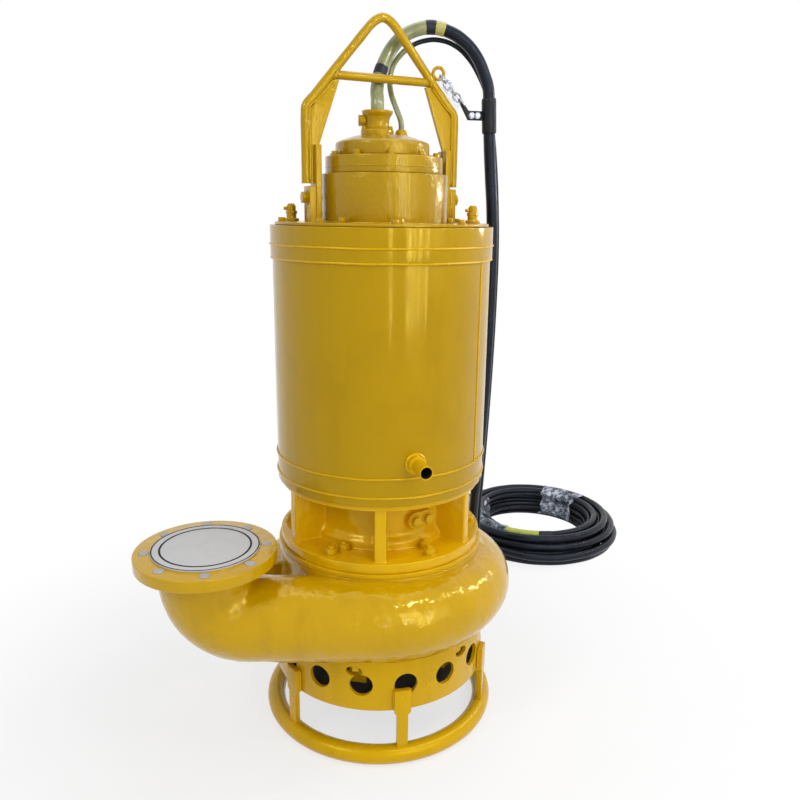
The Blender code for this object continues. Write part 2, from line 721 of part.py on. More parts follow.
def make_casing():
    """Spiral casing, outlet elbow and flange in one casting, with the passage cut through."""
    casing = loft("volute_casing", passage_sections(CASING_WALL, PIPE_SIDES, 0, 0), YELLOW)
    drum = [(DRUM_RADIUS, CASING_TOP_Z - RIM_THICKNESS), (DRUM_RADIUS, CASING_SEAT_Z + SEAT_FLANGE),
            (SEAT_FLANGE_RADIUS, CASING_SEAT_Z + SEAT_FLANGE), (SEAT_FLANGE_RADIUS, CASING_SEAT_Z),
            (0, CASING_SEAT_Z)]
    rim = [(0, CASING_TOP_Z), (RIM_RADIUS - EDGE, CASING_TOP_Z), (RIM_RADIUS, CASING_TOP_Z - EDGE),
           (RIM_RADIUS, CASING_TOP_Z - RIM_THICKNESS)]
    join(casing, turned("casing_drum", rim + drum, YELLOW))
    flange_place = (OUTLET_X, -THROAT_PATH_RADIUS, 0)
    flange_radius = FLANGE_D / 2
    foot = FLANGE_TOP_Z - FLANGE_THICKNESS
    face = FLANGE_TOP_Z - RAISED_FACE
    outline = [(0, FLANGE_TOP_Z), (RAISED_FACE_RADIUS, FLANGE_TOP_Z), (RAISED_FACE_RADIUS, face),
               (flange_radius - EDGE, face), (flange_radius, face - EDGE),
               (flange_radius, foot + EDGE), (flange_radius - EDGE, foot), (0, foot)]
    join(casing, turned("casing_flange", outline, YELLOW, BIG_SIDES, place=flange_place))
    cut(casing, loft("casing_passage", passage_sections(0, BORE_SIDES, -CASING_WALL, OVERRUN), CAST))
    half = CHAMBER_HEIGHT / 2
    cut(casing, cylinder("casing_chamber", CHAMBER_RADIUS, PASSAGE_Z - half, PASSAGE_Z + half, sides=MID_SIDES))
    half = SLOT_HEIGHT / 2
    cut(casing, cylinder("casing_slot", SLOT_RADIUS, PASSAGE_Z - half, PASSAGE_Z + half, sides=MID_SIDES))
    cut(casing, cylinder("casing_top_opening", TOP_OPENING, PASSAGE_Z + CHAMBER_HEIGHT / 2 - OVERRUN,
                         CASING_TOP_Z + OVERRUN))
    cut(casing, cylinder("casing_suction_opening", SUCTION_OPENING, CASING_SEAT_Z - OVERRUN,
                         PASSAGE_Z - CHAMBER_HEIGHT / 2 + OVERRUN, sides=MID_SIDES))
    for i in range(FLANGE_HOLES):
        angle = FLANGE_HOLE_FIRST + math.tau * i / FLANGE_HOLES
        place = Vector(flange_place) + around(angle, FLANGE_BOLT_CIRCLE / 2)
        cut(casing, cylinder(f"flange_hole_{i}", FLANGE_HOLE / 2, foot - OVERRUN, FLANGE_TOP_Z + OVERRUN,
                             sides=8, place=place))


def make_outlet_cover():
    """The loose disc that closes the outlet for transport."""
    foot = FLANGE_TOP_Z + GAP
    top = foot + COVER_THICKNESS
    outline = [(0, top), (COVER_RADIUS, top), (COVER_RADIUS, foot), (0, foot)]
    turned("outlet_cover", outline, COVER_GREY, place=(OUTLET_X, -THROAT_PATH_RADIUS, 0))


def make_suction_cover():
    """Closes the casing below, round the inlet, with a flared mouth."""
    top = PASSAGE_Z - CHAMBER_HEIGHT / 2
    seat = CASING_SEAT_Z - GAP
    foot = seat - COVER_FLANGE
    spigot = SUCTION_OPENING - GAP
    bore = SUCTION_BORE / 2
    mouth = SUCTION_MOUTH / 2
    outline = [(spigot, top), (spigot, seat), (COVER_FLANGE_RADIUS, seat), (COVER_FLANGE_RADIUS, foot),
               (mouth, foot)]
    flare = 3
    for i in range(1, flare + 1):
        turn = math.pi / 2 * i / flare
        outline.append((mouth - (mouth - bore) * math.sin(turn), foot + (mouth - bore) * (1 - math.cos(turn))))
    outline.append((bore, top))
    turned("suction_cover", outline, CAST, MID_SIDES, True)


def make_back_plate():
    """Closes the casing above and carries the still half of the shaft seal."""
    foot = PASSAGE_Z + CHAMBER_HEIGHT / 2
    seat = CASING_TOP_Z + GAP
    top = seat + BACK_PLATE_FLANGE
    spigot = TOP_OPENING - GAP
    neck = SEAL_BORE + RIM_THICKNESS
    lip = SHAFT_SEAL / 2 + IMPELLER_RUNNING
    ledge = SEAL_FACE_Z - SEAL_HEIGHT - GAP
    outline = [(neck, SEAL_FACE_Z), (neck, top), (RIM_RADIUS, top), (RIM_RADIUS, seat), (spigot, seat),
               (spigot, foot), (lip, foot), (lip, ledge), (SEAL_BORE, ledge), (SEAL_BORE, SEAL_FACE_Z)]
    turned("back_plate", outline, YELLOW, BIG_SIDES, True)
    ring("seal_seat", lip, SEAL_BORE - GAP, ledge + GAP, SEAL_FACE_Z - GAP, CARBON, HIDDEN_SIDES)


def make_bracket():
    """Ribbed housing between casing and motor: oil chamber below, bearing seat above."""
    foot = CASING_TOP_Z + BACK_PLATE_FLANGE + GAP * 2
    flange_top = foot + BRACKET_FLANGE
    top = foot + BRACKET_HEIGHT
    under = top - BRACKET_TOP
    seat = LOWER_BEARING_Z
    bearing = BEARING_OD / 2
    step = flange_top + BRACKET_FOOT_HEIGHT
    lip = bearing - RIM_THICKNESS
    outline = [(BRACKET_TOP_RADIUS, top), (BRACKET_TOP_RADIUS, under), (BRACKET_RADIUS, under),
               (BRACKET_RADIUS, step + EDGE * 3), (BRACKET_FOOT_RADIUS, step - EDGE * 2),
               (BRACKET_FOOT_RADIUS, flange_top), (BRACKET_FLANGE_RADIUS - EDGE, flange_top),
               (BRACKET_FLANGE_RADIUS, flange_top - EDGE), (BRACKET_FLANGE_RADIUS, foot),
               (BRACKET_BORE, foot), (BRACKET_BORE, seat - BRACKET_TOP - EDGE * 4), (lip, seat - BRACKET_TOP),
               (lip, seat), (bearing, seat), (bearing, top)]
    bracket = turned("bracket_housing", outline, YELLOW, BIG_SIDES, True)
    length = RIB_RADIUS - BRACKET_RADIUS + OVERRUN
    for i in range(RIB_COUNT):
        angle = RIB_FIRST + math.tau * i / RIB_COUNT
        size = (RIB_THICKNESS, length, under - flange_top + OVERRUN)
        place = around(angle, RIB_RADIUS - length / 2, (under + flange_top) / 2)
        join(bracket, box(f"bracket_rib_{i}", size, place, turn=angle))
    boss_reach = BRACKET_RADIUS + OVERRUN
    boss = oil_plate_outline()
    turn = (math.pi / 2, 0, OIL_ANGLE)
    join(bracket, plate("oil_boss", boss, OVERRUN * 4, YELLOW, place=around(OIL_ANGLE, boss_reach - OVERRUN * 2, OIL_Z),
                        rotation=turn))
    reach = boss_reach + GAP + OIL_PLATE / 2
    plate("oil_cover_plate", boss, OIL_PLATE, YELLOW, place=around(OIL_ANGLE, reach, OIL_Z), rotation=turn)
    side = Vector((math.cos(OIL_ANGLE), math.sin(OIL_ANGLE), 0)) * OIL_SPACING / 2
    start = reach + OIL_PLATE / 2 + GAP
    for tag, way in (("left", -1), ("right", 1)):
        foot_point = around(OIL_ANGLE, start, OIL_Z) + side * way
        end_point = around(OIL_ANGLE, start + OIL_HEAD, OIL_Z) + side * way
        rod(f"oil_plug_{tag}", OIL_HEX / math.sqrt(3), foot_point, end_point, YELLOW, 6)


def oil_plate_outline():
    """A long plate with half-round ends."""
    radius = OIL_HEIGHT / 2
    reach = OIL_WIDTH / 2 - radius
    points = []
    for i in range(9):
        turn = -math.pi / 2 + math.pi * i / 8
        points.append((reach + radius * math.cos(turn), radius * math.sin(turn)))
    for i in range(9):
        turn = math.pi / 2 + math.pi * i / 8
        points.append((-reach + radius * math.cos(turn), radius * math.sin(turn)))
    return points


# Rotating parts

def make_shaft():
    """One stepped shaft from the agitator to the upper bearing."""
    wet = PASSAGE_Z - CHAMBER_HEIGHT / 2 + IMPELLER_RUNNING
    seal = PASSAGE_Z + CHAMBER_HEIGHT / 2 - IMPELLER_RUNNING
    shoulder = LOWER_BEARING_Z + BEARING_WIDTH
    top_seat = UPPER_BEARING_Z
    outline = [(0, SHAFT_TOP_Z), (SHAFT_UPPER / 2 - EDGE, SHAFT_TOP_Z), (SHAFT_UPPER / 2, SHAFT_TOP_Z - EDGE),
               (SHAFT_UPPER / 2, top_seat), (SHAFT_BODY / 2, top_seat), (SHAFT_BODY / 2, shoulder),
               (SHAFT_BEARING / 2, shoulder), (SHAFT_BEARING / 2, LOWER_BEARING_Z),
               (SHAFT_SEAL / 2, LOWER_BEARING_Z), (SHAFT_SEAL / 2, seal), (SHAFT_WET / 2, seal),
               (SHAFT_WET / 2, wet), (SHAFT_TIP / 2, wet), (SHAFT_TIP / 2, SHAFT_FOOT_Z), (0, SHAFT_FOOT_Z)]
    turned("shaft", outline, STEEL, HIDDEN_SIDES, parent=rotor_axis)


def vane_outline():
    """One vane from above: it leans back, away from the clockwise turn, as it runs outwards."""
    inner_side = []
    outer_side = []
    rim = IMPELLER_D / 2 - EDGE
    for i in range(VANE_POINTS):
        share = i / (VANE_POINTS - 1)
        radius = VANE_INNER_RADIUS * (rim / VANE_INNER_RADIUS) ** share
        angle = VANE_SWEEP * share
        lean = VANE_THICKNESS / 2 / radius * 1.4
        inner_side.append((radius * math.cos(angle - lean), radius * math.sin(angle - lean)))
        outer_side.append((radius * math.cos(angle + lean), radius * math.sin(angle + lean)))
    return inner_side + outer_side[::-1]


def make_impeller():
    """Closed impeller: two shrouds, a hub and vanes that lean back."""
    foot = PASSAGE_Z - CHAMBER_HEIGHT / 2 + IMPELLER_RUNNING
    top = PASSAGE_Z + CHAMBER_HEIGHT / 2 - IMPELLER_RUNNING - GAP
    rim = IMPELLER_D / 2
    bore = SHAFT_WET / 2 + GAP
    hub = IMPELLER_HUB / 2
    back = top - IMPELLER_SHROUD
    outline = [(rim, top), (rim, back), (hub * 1.3, back), (hub, back - IMPELLER_SHROUD), (hub, foot + IMPELLER_SHROUD),
               (hub * 0.8, foot + GAP), (bore, foot + GAP), (bore, top)]
    impeller = turned("impeller", outline, CAST, MID_SIDES, True, rotor_axis)
    eye = IMPELLER_EYE / 2
    shroud = [(rim, foot + IMPELLER_SHROUD), (rim, foot), (eye, foot), (eye, foot + IMPELLER_SHROUD)]
    join(impeller, turned("impeller_front_shroud", shroud, CAST, MID_SIDES, True, rotor_axis))
    height = back - foot
    for i in range(VANE_COUNT):
        vane = plate(f"impeller_vane_{i}", vane_outline(), height, CAST, rotor_axis,
                     (0, 0, foot + IMPELLER_SHROUD / 2 + height / 2), (0, 0, math.tau * i / VANE_COUNT))
        join(impeller, vane)


def make_agitator():
    """Pitched blades on the shaft's end that stir the settled sand, and their nut."""
    foot = AGITATOR_Z + AGITATOR_NUT + GAP
    top = PASSAGE_Z - CHAMBER_HEIGHT / 2 + IMPELLER_RUNNING - GAP
    hub = AGITATOR_HUB / 2
    bore = SHAFT_TIP / 2 + GAP
    outline = [(bore * 1.25, top), (hub, foot + BLADE_HEIGHT * 1.2), (hub, foot), (bore, foot), (bore, top)]
    agitator = turned("agitator", outline, CAST, MID_SIDES, True, rotor_axis)
    for i in range(BLADE_COUNT):
        angle = math.tau * i / BLADE_COUNT
        length = AGITATOR_RADIUS - bore * 1.3
        blade = box(f"agitator_blade_{i}", (BLADE_THICKNESS, length, BLADE_HEIGHT),
                    around(angle, AGITATOR_RADIUS - length / 2, foot + BLADE_HEIGHT / 2), CAST, parent=rotor_axis)
        blade.rotation_euler = (Matrix.Rotation(angle, 4, "Z") @ Matrix.Rotation(BLADE_PITCH, 4, "Y")).to_euler()
        join(agitator, blade)
    hexagon("agitator_nut", AGITATOR_NUT_HEX, AGITATOR_Z, AGITATOR_Z + AGITATOR_NUT, STEEL, parent=rotor_axis)


def make_seal_ring():
    ring("seal_ring", SHAFT_SEAL / 2 + GAP, SEAL_RING_RADIUS, SEAL_FACE_Z, SEAL_FACE_Z + SEAL_HEIGHT, STEEL,
         HIDDEN_SIDES, parent=rotor_axis)


def make_bearing(tag, foot, bore, outer, width):
    """Ball bearing: still outer race, turning inner race, and the balls in their cage between."""
    depth = outer - bore
    outer_race = depth * OUTER_RACE_SHARE
    inner_race = depth * INNER_RACE_SHARE
    middle = (bore + outer) / 2
    ball = depth * BALL_SHARE
    centre = foot + width / 2
    top = foot + width - GAP * 2
    ring(f"{tag}_bearing_outer_race", outer - outer_race, outer - GAP, foot, top, STEEL, HIDDEN_SIDES)
    ring(f"{tag}_bearing_inner_race", bore + GAP, bore + inner_race, foot, top, STEEL, HIDDEN_SIDES, parent=rotor_axis)
    cage_axis = bpy.data.objects.new(f"{tag}_cage_axis", None)
    cage_axis.location = AXIS
    collection.objects.link(cage_axis)
    half = (depth / 2 - inner_race) * CAGE_SHARE
    cage = ring(f"{tag}_bearing_balls", middle - half, middle + half, centre - ball * 0.6, centre + ball * 0.6,
                STEEL, BALL_COUNT * 2, parent=cage_axis)
    for i in range(BALL_COUNT):
        bm = bmesh.new()
        bmesh.ops.create_icosphere(bm, subdivisions=1, radius=ball)
        mesh = bpy.data.meshes.new(f"{tag}_ball_{i}")
        bm.to_mesh(mesh)
        bm.free()
        smooth(mesh)
        place = around(math.tau * i / BALL_COUNT, middle, centre)
        join(cage, add(f"{tag}_ball_{i}", mesh, STEEL, cage_axis, place))


# Motor

def cover_top():
    return JACKET_TOP_Z + GAP + TOP_COVER


def bail_lug_reach():
    return SIDE_PLATE_INNER_FOOT + STRAP_THICKNESS + GAP + BAIL_LUG_THICKNESS / 2


def make_motor():
    foot = CASING_TOP_Z + BACK_PLATE_FLANGE + GAP * 3 + BRACKET_HEIGHT
    inner = JACKET_RADIUS - JACKET_WALL
    outline = [(JACKET_RADIUS, JACKET_TOP_Z), (JACKET_RADIUS, foot), (JACKET_SILL_BORE, foot),
               (JACKET_SILL_BORE, foot + JACKET_SILL), (inner, foot + JACKET_SILL), (inner, JACKET_TOP_Z)]
    jacket = turned("cooling_jacket", outline, YELLOW, BIG_SIDES, True)
    start = around(NIPPLE_ANGLE, inner - OVERRUN, NIPPLE_Z)
    end = around(NIPPLE_ANGLE, JACKET_RADIUS + OVERRUN, NIPPLE_Z)
    cut(jacket, rod("jacket_drain_hole", NIPPLE_D / 2 + GAP, start, end, sides=16))
    ring("upper_jacket_band", JACKET_RADIUS + GAP, BAND_RADIUS, BAND_FOOT_Z, JACKET_TOP_Z, YELLOW)

    housing_inner = HOUSING_RADIUS - HOUSING_WALL
    seat = BEARING_OD / 2 + RIM_THICKNESS
    outline = [(HOUSING_RADIUS, JACKET_TOP_Z), (HOUSING_RADIUS, foot), (seat, foot), (seat, foot + HOUSING_FOOT),
               (housing_inner, foot + HOUSING_FOOT), (housing_inner, JACKET_TOP_Z)]
    turned("motor_housing", outline, CAST, HIDDEN_SIDES, True)
    stator_top = STATOR_FOOT_Z + STATOR_HEIGHT
    ring("stator_core", STATOR_BORE / 2, housing_inner - GAP, STATOR_FOOT_Z, stator_top, LAMINATION, HIDDEN_SIDES)
    ring("lower_winding", WINDING_INNER, WINDING_OUTER, STATOR_FOOT_Z - GAP - WINDING_HEIGHT, STATOR_FOOT_Z - GAP,
         COPPER, HIDDEN_SIDES)
    ring("upper_winding", WINDING_INNER, WINDING_OUTER, stator_top + GAP, stator_top + GAP + WINDING_HEIGHT,
         COPPER, HIDDEN_SIDES)
    ring("rotor_core", SHAFT_BODY / 2 + GAP, STATOR_BORE / 2 - AIR_GAP, STATOR_FOOT_Z - ROTOR_OVERHANG,
         stator_top + ROTOR_OVERHANG, LAMINATION, HIDDEN_SIDES, parent=rotor_axis)

    under = JACKET_TOP_Z + GAP
    top = under + TOP_COVER
    bearing = UPPER_BEARING_OD / 2
    boss_foot = UPPER_BEARING_Z - EDGE * 2
    outline = [(0, top), (TOP_COVER_RADIUS - EDGE, top), (TOP_COVER_RADIUS, top - EDGE), (TOP_COVER_RADIUS, under),
               (TOP_BOSS_RADIUS, under), (TOP_BOSS_RADIUS, boss_foot), (bearing, boss_foot),
               (bearing, UPPER_BEARING_Z + UPPER_BEARING_WIDTH), (bearing - RIM_THICKNESS, UPPER_BEARING_Z
               + UPPER_BEARING_WIDTH), (bearing - RIM_THICKNESS, SHAFT_TOP_Z + EDGE * 4),
               (0, SHAFT_TOP_Z + EDGE * 4)]
    cover = turned("motor_top_cover", outline, YELLOW)
    size = (BAIL_LUG_THICKNESS, STRAP_WIDTH, BAIL_LUG_HEIGHT + OVERRUN)
    for way in (-1, 1):
        place = bail_point(way * bail_lug_reach(), cover_top() + (BAIL_LUG_HEIGHT - OVERRUN) / 2)
        join(cover, box("bail_lug", size, place, turn=BAIL_TURN))
    for tag, angle in PLUG_ANGLES.items():
        radius = PLUG_D / 2
        foot = top + GAP
        outline = [(0, foot + PLUG_HEIGHT)]
        for i in range(1, 4):
            turn = math.pi / 2 * i / 3
            outline.append((radius * math.sin(turn), foot + PLUG_HEIGHT - radius * (1 - math.cos(turn))))
        outline += [(radius, foot + PLUG_FLANGE), (PLUG_FLANGE_D / 2, foot + PLUG_FLANGE), (PLUG_FLANGE_D / 2, foot),
                    (0, foot)]
        turned(f"{tag}_cover_plug", outline, YELLOW, 12, place=around(angle, PLUG_REACH))


def make_nipple():
    """Drain pipe stub on the jacket, with a weld collar at its root."""
    radius = NIPPLE_D / 2
    start = around(NIPPLE_ANGLE, JACKET_RADIUS - JACKET_WALL, NIPPLE_Z)
    length = NIPPLE_LENGTH + JACKET_WALL
    collar = JACKET_WALL + EDGE
    outline = [(radius, length), (radius, collar + NIPPLE_COLLAR_LENGTH), (NIPPLE_COLLAR / 2 - EDGE, collar
               + NIPPLE_COLLAR_LENGTH), (NIPPLE_COLLAR / 2, collar + NIPPLE_COLLAR_LENGTH - EDGE),
               (NIPPLE_COLLAR / 2, collar), (radius, collar), (radius, 0), (radius - NIPPLE_WALL, 0),
               (radius - NIPPLE_WALL, length)]
    nipple = turned("drain_nipple", outline, YELLOW, 16, True, place=start)
    nipple.rotation_euler = around(NIPPLE_ANGLE, 1).to_track_quat("Z", "Y").to_euler()


# Terminal chamber, lids and glands

def terminal_top():
    return cover_top() + GAP + TERMINAL_HEIGHT


def cap_top():
    return terminal_top() + LID_HEIGHT + GAP * 2 + CAP_SKIRT + CAP_RISE


def make_terminal_chamber():
    foot = cover_top() + GAP
    top = terminal_top()
    inner = TERMINAL_RADIUS - TERMINAL_WALL
    outline = [(TERMINAL_RADIUS - EDGE, top), (TERMINAL_RADIUS, top - EDGE), (TERMINAL_RADIUS, foot),
               (TERMINAL_FOOT_BORE, foot), (TERMINAL_FOOT_BORE, foot + TERMINAL_FOOT), (inner, foot + TERMINAL_FOOT),
               (inner, top)]
    turned("terminal_chamber", outline, YELLOW, BIG_SIDES, True, place=(CHAMBER_X, 0, 0))
    lid_foot = top + GAP
    lid_top = lid_foot + LID_HEIGHT
    outline = [(LID_RADIUS - EDGE, lid_top), (LID_RADIUS, lid_top - EDGE), (LID_RADIUS, lid_foot),
               (LID_BORE, lid_foot), (LID_BORE, lid_top)]
    turned("chamber_lid", outline, YELLOW, BIG_SIDES, True, place=(LID_X, 0, 0))
    cap_foot = lid_top + GAP
    skirt = cap_foot + CAP_SKIRT
    outline = [(0, skirt + CAP_RISE), (CAP_FLAT, skirt + CAP_RISE), (CAP_RADIUS - EDGE, skirt + EDGE),
               (CAP_RADIUS, skirt - EDGE), (CAP_RADIUS, cap_foot), (0, cap_foot)]
    turned("terminal_cap", outline, YELLOW, MID_SIDES)


def make_glands():
    foot = cap_top() + GAP
    top = foot + GLAND_HEIGHT
    bore = CABLE_D / 2 + GAP
    outline = [(GLAND_LIP, top), (GLAND_LIP, top - EDGE * 2), (GLAND_WAIST + EDGE, top - GLAND_HEIGHT * 0.24),
               (GLAND_WAIST, top - GLAND_HEIGHT * 0.62), (GLAND_BASE, foot + GLAND_HEIGHT * 0.26), (GLAND_BASE, foot),
               (bore, foot), (bore, top)]
    gland = turned("cable_gland", outline, YELLOW, 20, True, place=(GLAND_X, 0, 0))
    lug_z = top - GLAND_HEIGHT * 0.38
    size = (GLAND_LUG_LENGTH + GLAND_WAIST - bore, GLAND_LUG_WIDTH, GLAND_LUG_HEIGHT)
    lug_x = GLAND_X - bore - size[0] / 2 - EDGE
    join(gland, box("gland_lug", size, (lug_x, 0, lug_z)))
    bore = CONTROL_D / 2 + GAP
    top = foot + SMALL_GLAND_HEIGHT
    shoulder = top - SMALL_GLAND_HEIGHT / 3
    outline = [(SMALL_GLAND_RADIUS * 0.75, top), (SMALL_GLAND_RADIUS, shoulder), (SMALL_GLAND_RADIUS, foot),
               (bore, foot), (bore, top)]
    turned("control_gland", outline, YELLOW, 12, True, place=(SMALL_GLAND_X, SMALL_GLAND_Y, 0))


# Lifting bail

def inner_line(points, distance):
    """A line of (along, height) points moved inwards, towards the pump's axis, with mitred corners."""
    moved = []
    for i, (x, z) in enumerate(points):
        before = Vector(points[max(i - 1, 0)])
        after = Vector(points[min(i + 1, len(points) - 1)])
        here = Vector((x, z))
        ways = [way.normalized() for way in (here - before, after - here) if way.length > 0]
        normals = [Vector((-way.y, way.x)) for way in ways]
        mitre = (normals[0] + normals[-1]).normalized()
        moved.append(here + mitre * distance / mitre.dot(normals[0]))
    return moved


def bail_slope():
    """Height gained along the bail's upper arm for each length along it, negative towards the foot."""
    return (BAIL_TOP_Z - BAIL_CROWN * 1.9 - BAIL_KINK_Z - BAIL_BAR) / (BAIL_CROWN * 2.6 - BAIL_REACH + BAIL_BAR)


def eye_centre():
    """The eye stands off the outer side of the bail's right arm."""
    reach = BAIL_REACH - BAIL_BAR + (EYE_Z - BAIL_KINK_Z - BAIL_BAR) / bail_slope() + EYE_STANDOFF
    return bail_point(reach, EYE_Z)


def make_bail():
    """A bent round bar over the top, its cross bar, two side plates, and the bolts that hold them."""
    half = [(BAIL_REACH, BAIL_FOOT_Z), (BAIL_REACH, BAIL_KINK_Z - BAIL_BAR), (BAIL_REACH - BAIL_BAR * 0.12, BAIL_KINK_Z),
            (BAIL_REACH - BAIL_BAR, BAIL_KINK_Z + BAIL_BAR), (BAIL_CROWN * 2.6, BAIL_TOP_Z - BAIL_CROWN * 1.9),
            (BAIL_CROWN * 1.8, BAIL_TOP_Z - BAIL_CROWN_DROP * 1.9), (BAIL_CROWN, BAIL_TOP_Z - BAIL_CROWN_DROP * 0.7)]
    path = [bail_point(-x, z) for x, z in half] + [bail_point(0, BAIL_TOP_Z)]
    path += [bail_point(x, z) for x, z in half[::-1]]
    bar("lifting_bail", path, BAIL_BAR, YELLOW, resolution=3)

    slope = bail_slope()
    reach = BAIL_REACH - BAIL_BAR + (CROSSBAR_Z - BAIL_KINK_Z - BAIL_BAR) / slope
    lean = math.sqrt(1 + 1 / slope ** 2)
    end = reach - BAIL_BAR / 2 * lean - CROSSBAR / 2 / abs(slope) - GAP * 2
    path = [bail_point(-end, CROSSBAR_Z), bail_point(0, CROSSBAR_Z), bail_point(end, CROSSBAR_Z)]
    bar("bail_crossbar", path, CROSSBAR, YELLOW, resolution=3)

    seat = cover_top() + GAP
    strap_outer = SIDE_PLATE_INNER_FOOT + STRAP_THICKNESS
    edge = inner_line(half, BAIL_BAR / 2 + GAP)[:4]
    upper_z = CROSSBAR_Z - CROSSBAR / 2 - GAP * 2 - EDGE
    upper_reach = BAIL_REACH - BAIL_BAR + (upper_z - BAIL_KINK_Z - BAIL_BAR) / slope - BAIL_BAR / 2 * lean - GAP * 2
    outline = [tuple(point) for point in edge]
    outline += [(upper_reach, upper_z), (SIDE_PLATE_INNER_TOP, upper_z), (SIDE_PLATE_INNER_FOOT, SIDE_PLATE_KNEE_Z),
                (SIDE_PLATE_INNER_FOOT, BAIL_FOOT_Z)]
    for tag, way in (("left", -1), ("right", 1)):
        mirrored = [(way * x, z) for x, z in outline]
        if way < 0:
            mirrored = mirrored[::-1]
        side = plate(f"bail_side_plate_{tag}", mirrored, SIDE_PLATE, YELLOW, rotation=(math.pi / 2, 0, BAIL_TURN))
        size = (STRAP_THICKNESS, STRAP_WIDTH, SIDE_PLATE_KNEE_Z - seat)
        centre = bail_point(way * (strap_outer - STRAP_THICKNESS / 2), (SIDE_PLATE_KNEE_Z + seat) / 2)
        join(side, box(f"bail_strap_{tag}", size, centre, turn=BAIL_TURN))
        head = bail_lug_reach() + BAIL_LUG_THICKNESS / 2 + GAP
        rod(f"bail_bolt_{tag}", BAIL_HEX / math.sqrt(3), bail_point(way * head, BAIL_BOLT_Z),
            bail_point(way * (head + BAIL_HEAD), BAIL_BOLT_Z), YELLOW, 6)


# Chain and cable clamp

def link_path(length, width):
    """The middle line of a chain link: two straight sides and two round ends, in the XY plane."""
    radius = (width - LINK_BAR) / 2
    reach = (length - LINK_BAR) / 2 - radius
    points = []
    for end in (1, -1):
        for i in range(4):
            turn = -math.pi / 2 + math.pi * i / 3
            points.append((end * (reach + radius * math.cos(turn)), end * radius * math.sin(turn), 0))
    return points


def make_chain(hole_place):
    """The eye on the bail, and the links from it to the clamp's arm."""
    eye_place = eye_centre()
    path = []
    for i in range(EYE_POINTS):
        turn = math.tau * i / EYE_POINTS
        path.append((EYE_RADIUS * math.cos(turn), EYE_RADIUS * math.sin(turn), 0))
    bar("bail_eye", path, EYE_BAR, YELLOW, resolution=1, closed=True, place=eye_place,
        rotation=(math.pi / 2, 0, clamp_turn()))
    way = (hole_place - eye_place).normalized()
    near = EYE_RADIUS * math.cos(math.pi / EYE_POINTS) - (EYE_BAR + LINK_BAR) / 2 - LINK_PLAY
    tail = (CLAMP_HOLE - LINK_BAR) / 2 - LINK_PLAY
    run = (hole_place - eye_place).length - near - tail
    shared = LINK_BAR * 2 + LINK_PLAY
    length = (run + LINK_BAR + (LINK_COUNT - 1) * shared) / LINK_COUNT
    side = Vector((math.sin(clamp_turn()), -math.cos(clamp_turn()), 0))
    for i in range(LINK_COUNT):
        centre = eye_place + way * (near + (length - LINK_BAR) / 2 + (length - shared) * i)
        across = side if i % 2 == 0 else way.cross(side)
        frame = Matrix((way, across, way.cross(across))).transposed()
        bar(f"chain_link_{i + 1}", link_path(length, LINK_WIDTH), LINK_BAR, STEEL, resolution=1, closed=True,
            place=centre, rotation=frame.to_euler())


def clamp_centre():
    return (Vector(CLAMP_FOOT) + Vector(CLAMP_HEAD)) / 2


def clamp_turn():
    """The clamp's arm points at the eye on the bail."""
    way = clamp_centre() - eye_centre()
    return math.atan2(way.y, way.x)


def clamp_hole_place():
    arm = Vector((CLAMP_HOLE - CLAMP_TIP_LENGTH, 0, CLAMP_TIP_RISE - CLAMP_HOLE * 0.95))
    return clamp_centre() + Matrix.Rotation(clamp_turn(), 3, "Z") @ arm


def make_cable_clamp():
    """A sleeve round the cable with an arm, whose hole takes the last chain link."""
    axis = Vector(CLAMP_HEAD) - Vector(CLAMP_FOOT)
    outline = [(CLAMP_RADIUS - EDGE, CLAMP_LENGTH / 2), (CLAMP_RADIUS, CLAMP_LENGTH / 2 - EDGE),
               (CLAMP_RADIUS, EDGE - CLAMP_LENGTH / 2), (CLAMP_RADIUS - EDGE, -CLAMP_LENGTH / 2),
               (CABLE_D / 2 + CLAMP_PLAY, -CLAMP_LENGTH / 2), (CABLE_D / 2 + CLAMP_PLAY, CLAMP_LENGTH / 2)]
    clamp = turned("cable_clamp", outline, DARK_STEEL, HIDDEN_SIDES, True, place=clamp_centre())
    clamp.rotation_euler = axis.to_track_quat("Z", "Y").to_euler()
    low = -CLAMP_ARM_DEPTH / 2
    high = CLAMP_ARM_DEPTH / 2
    start = EDGE - CLAMP_RADIUS
    outline = [(start, low), (start, high), (-CLAMP_ARM + EDGE, high),
               (-CLAMP_TIP_LENGTH + CLAMP_HOLE / 2, CLAMP_TIP_RISE),
               (-CLAMP_TIP_LENGTH - EDGE, CLAMP_TIP_RISE - CLAMP_HOLE / 3), (-CLAMP_ARM - EDGE * 2, low)]
    arm = plate("cable_clamp_arm", outline, CLAMP_PLATE, DARK_STEEL, place=clamp_centre(),
                rotation=(math.pi / 2, 0, clamp_turn()))
    across = Matrix.Rotation(clamp_turn(), 3, "Z") @ Vector((0, CLAMP_PLATE, 0))
    hole = clamp_hole_place()
    cut(arm, rod("clamp_hole", CLAMP_HOLE / 2, hole + across, hole - across, sides=12))
    join(clamp, arm)


# Cables: routes from the pump's axis, chosen by hand

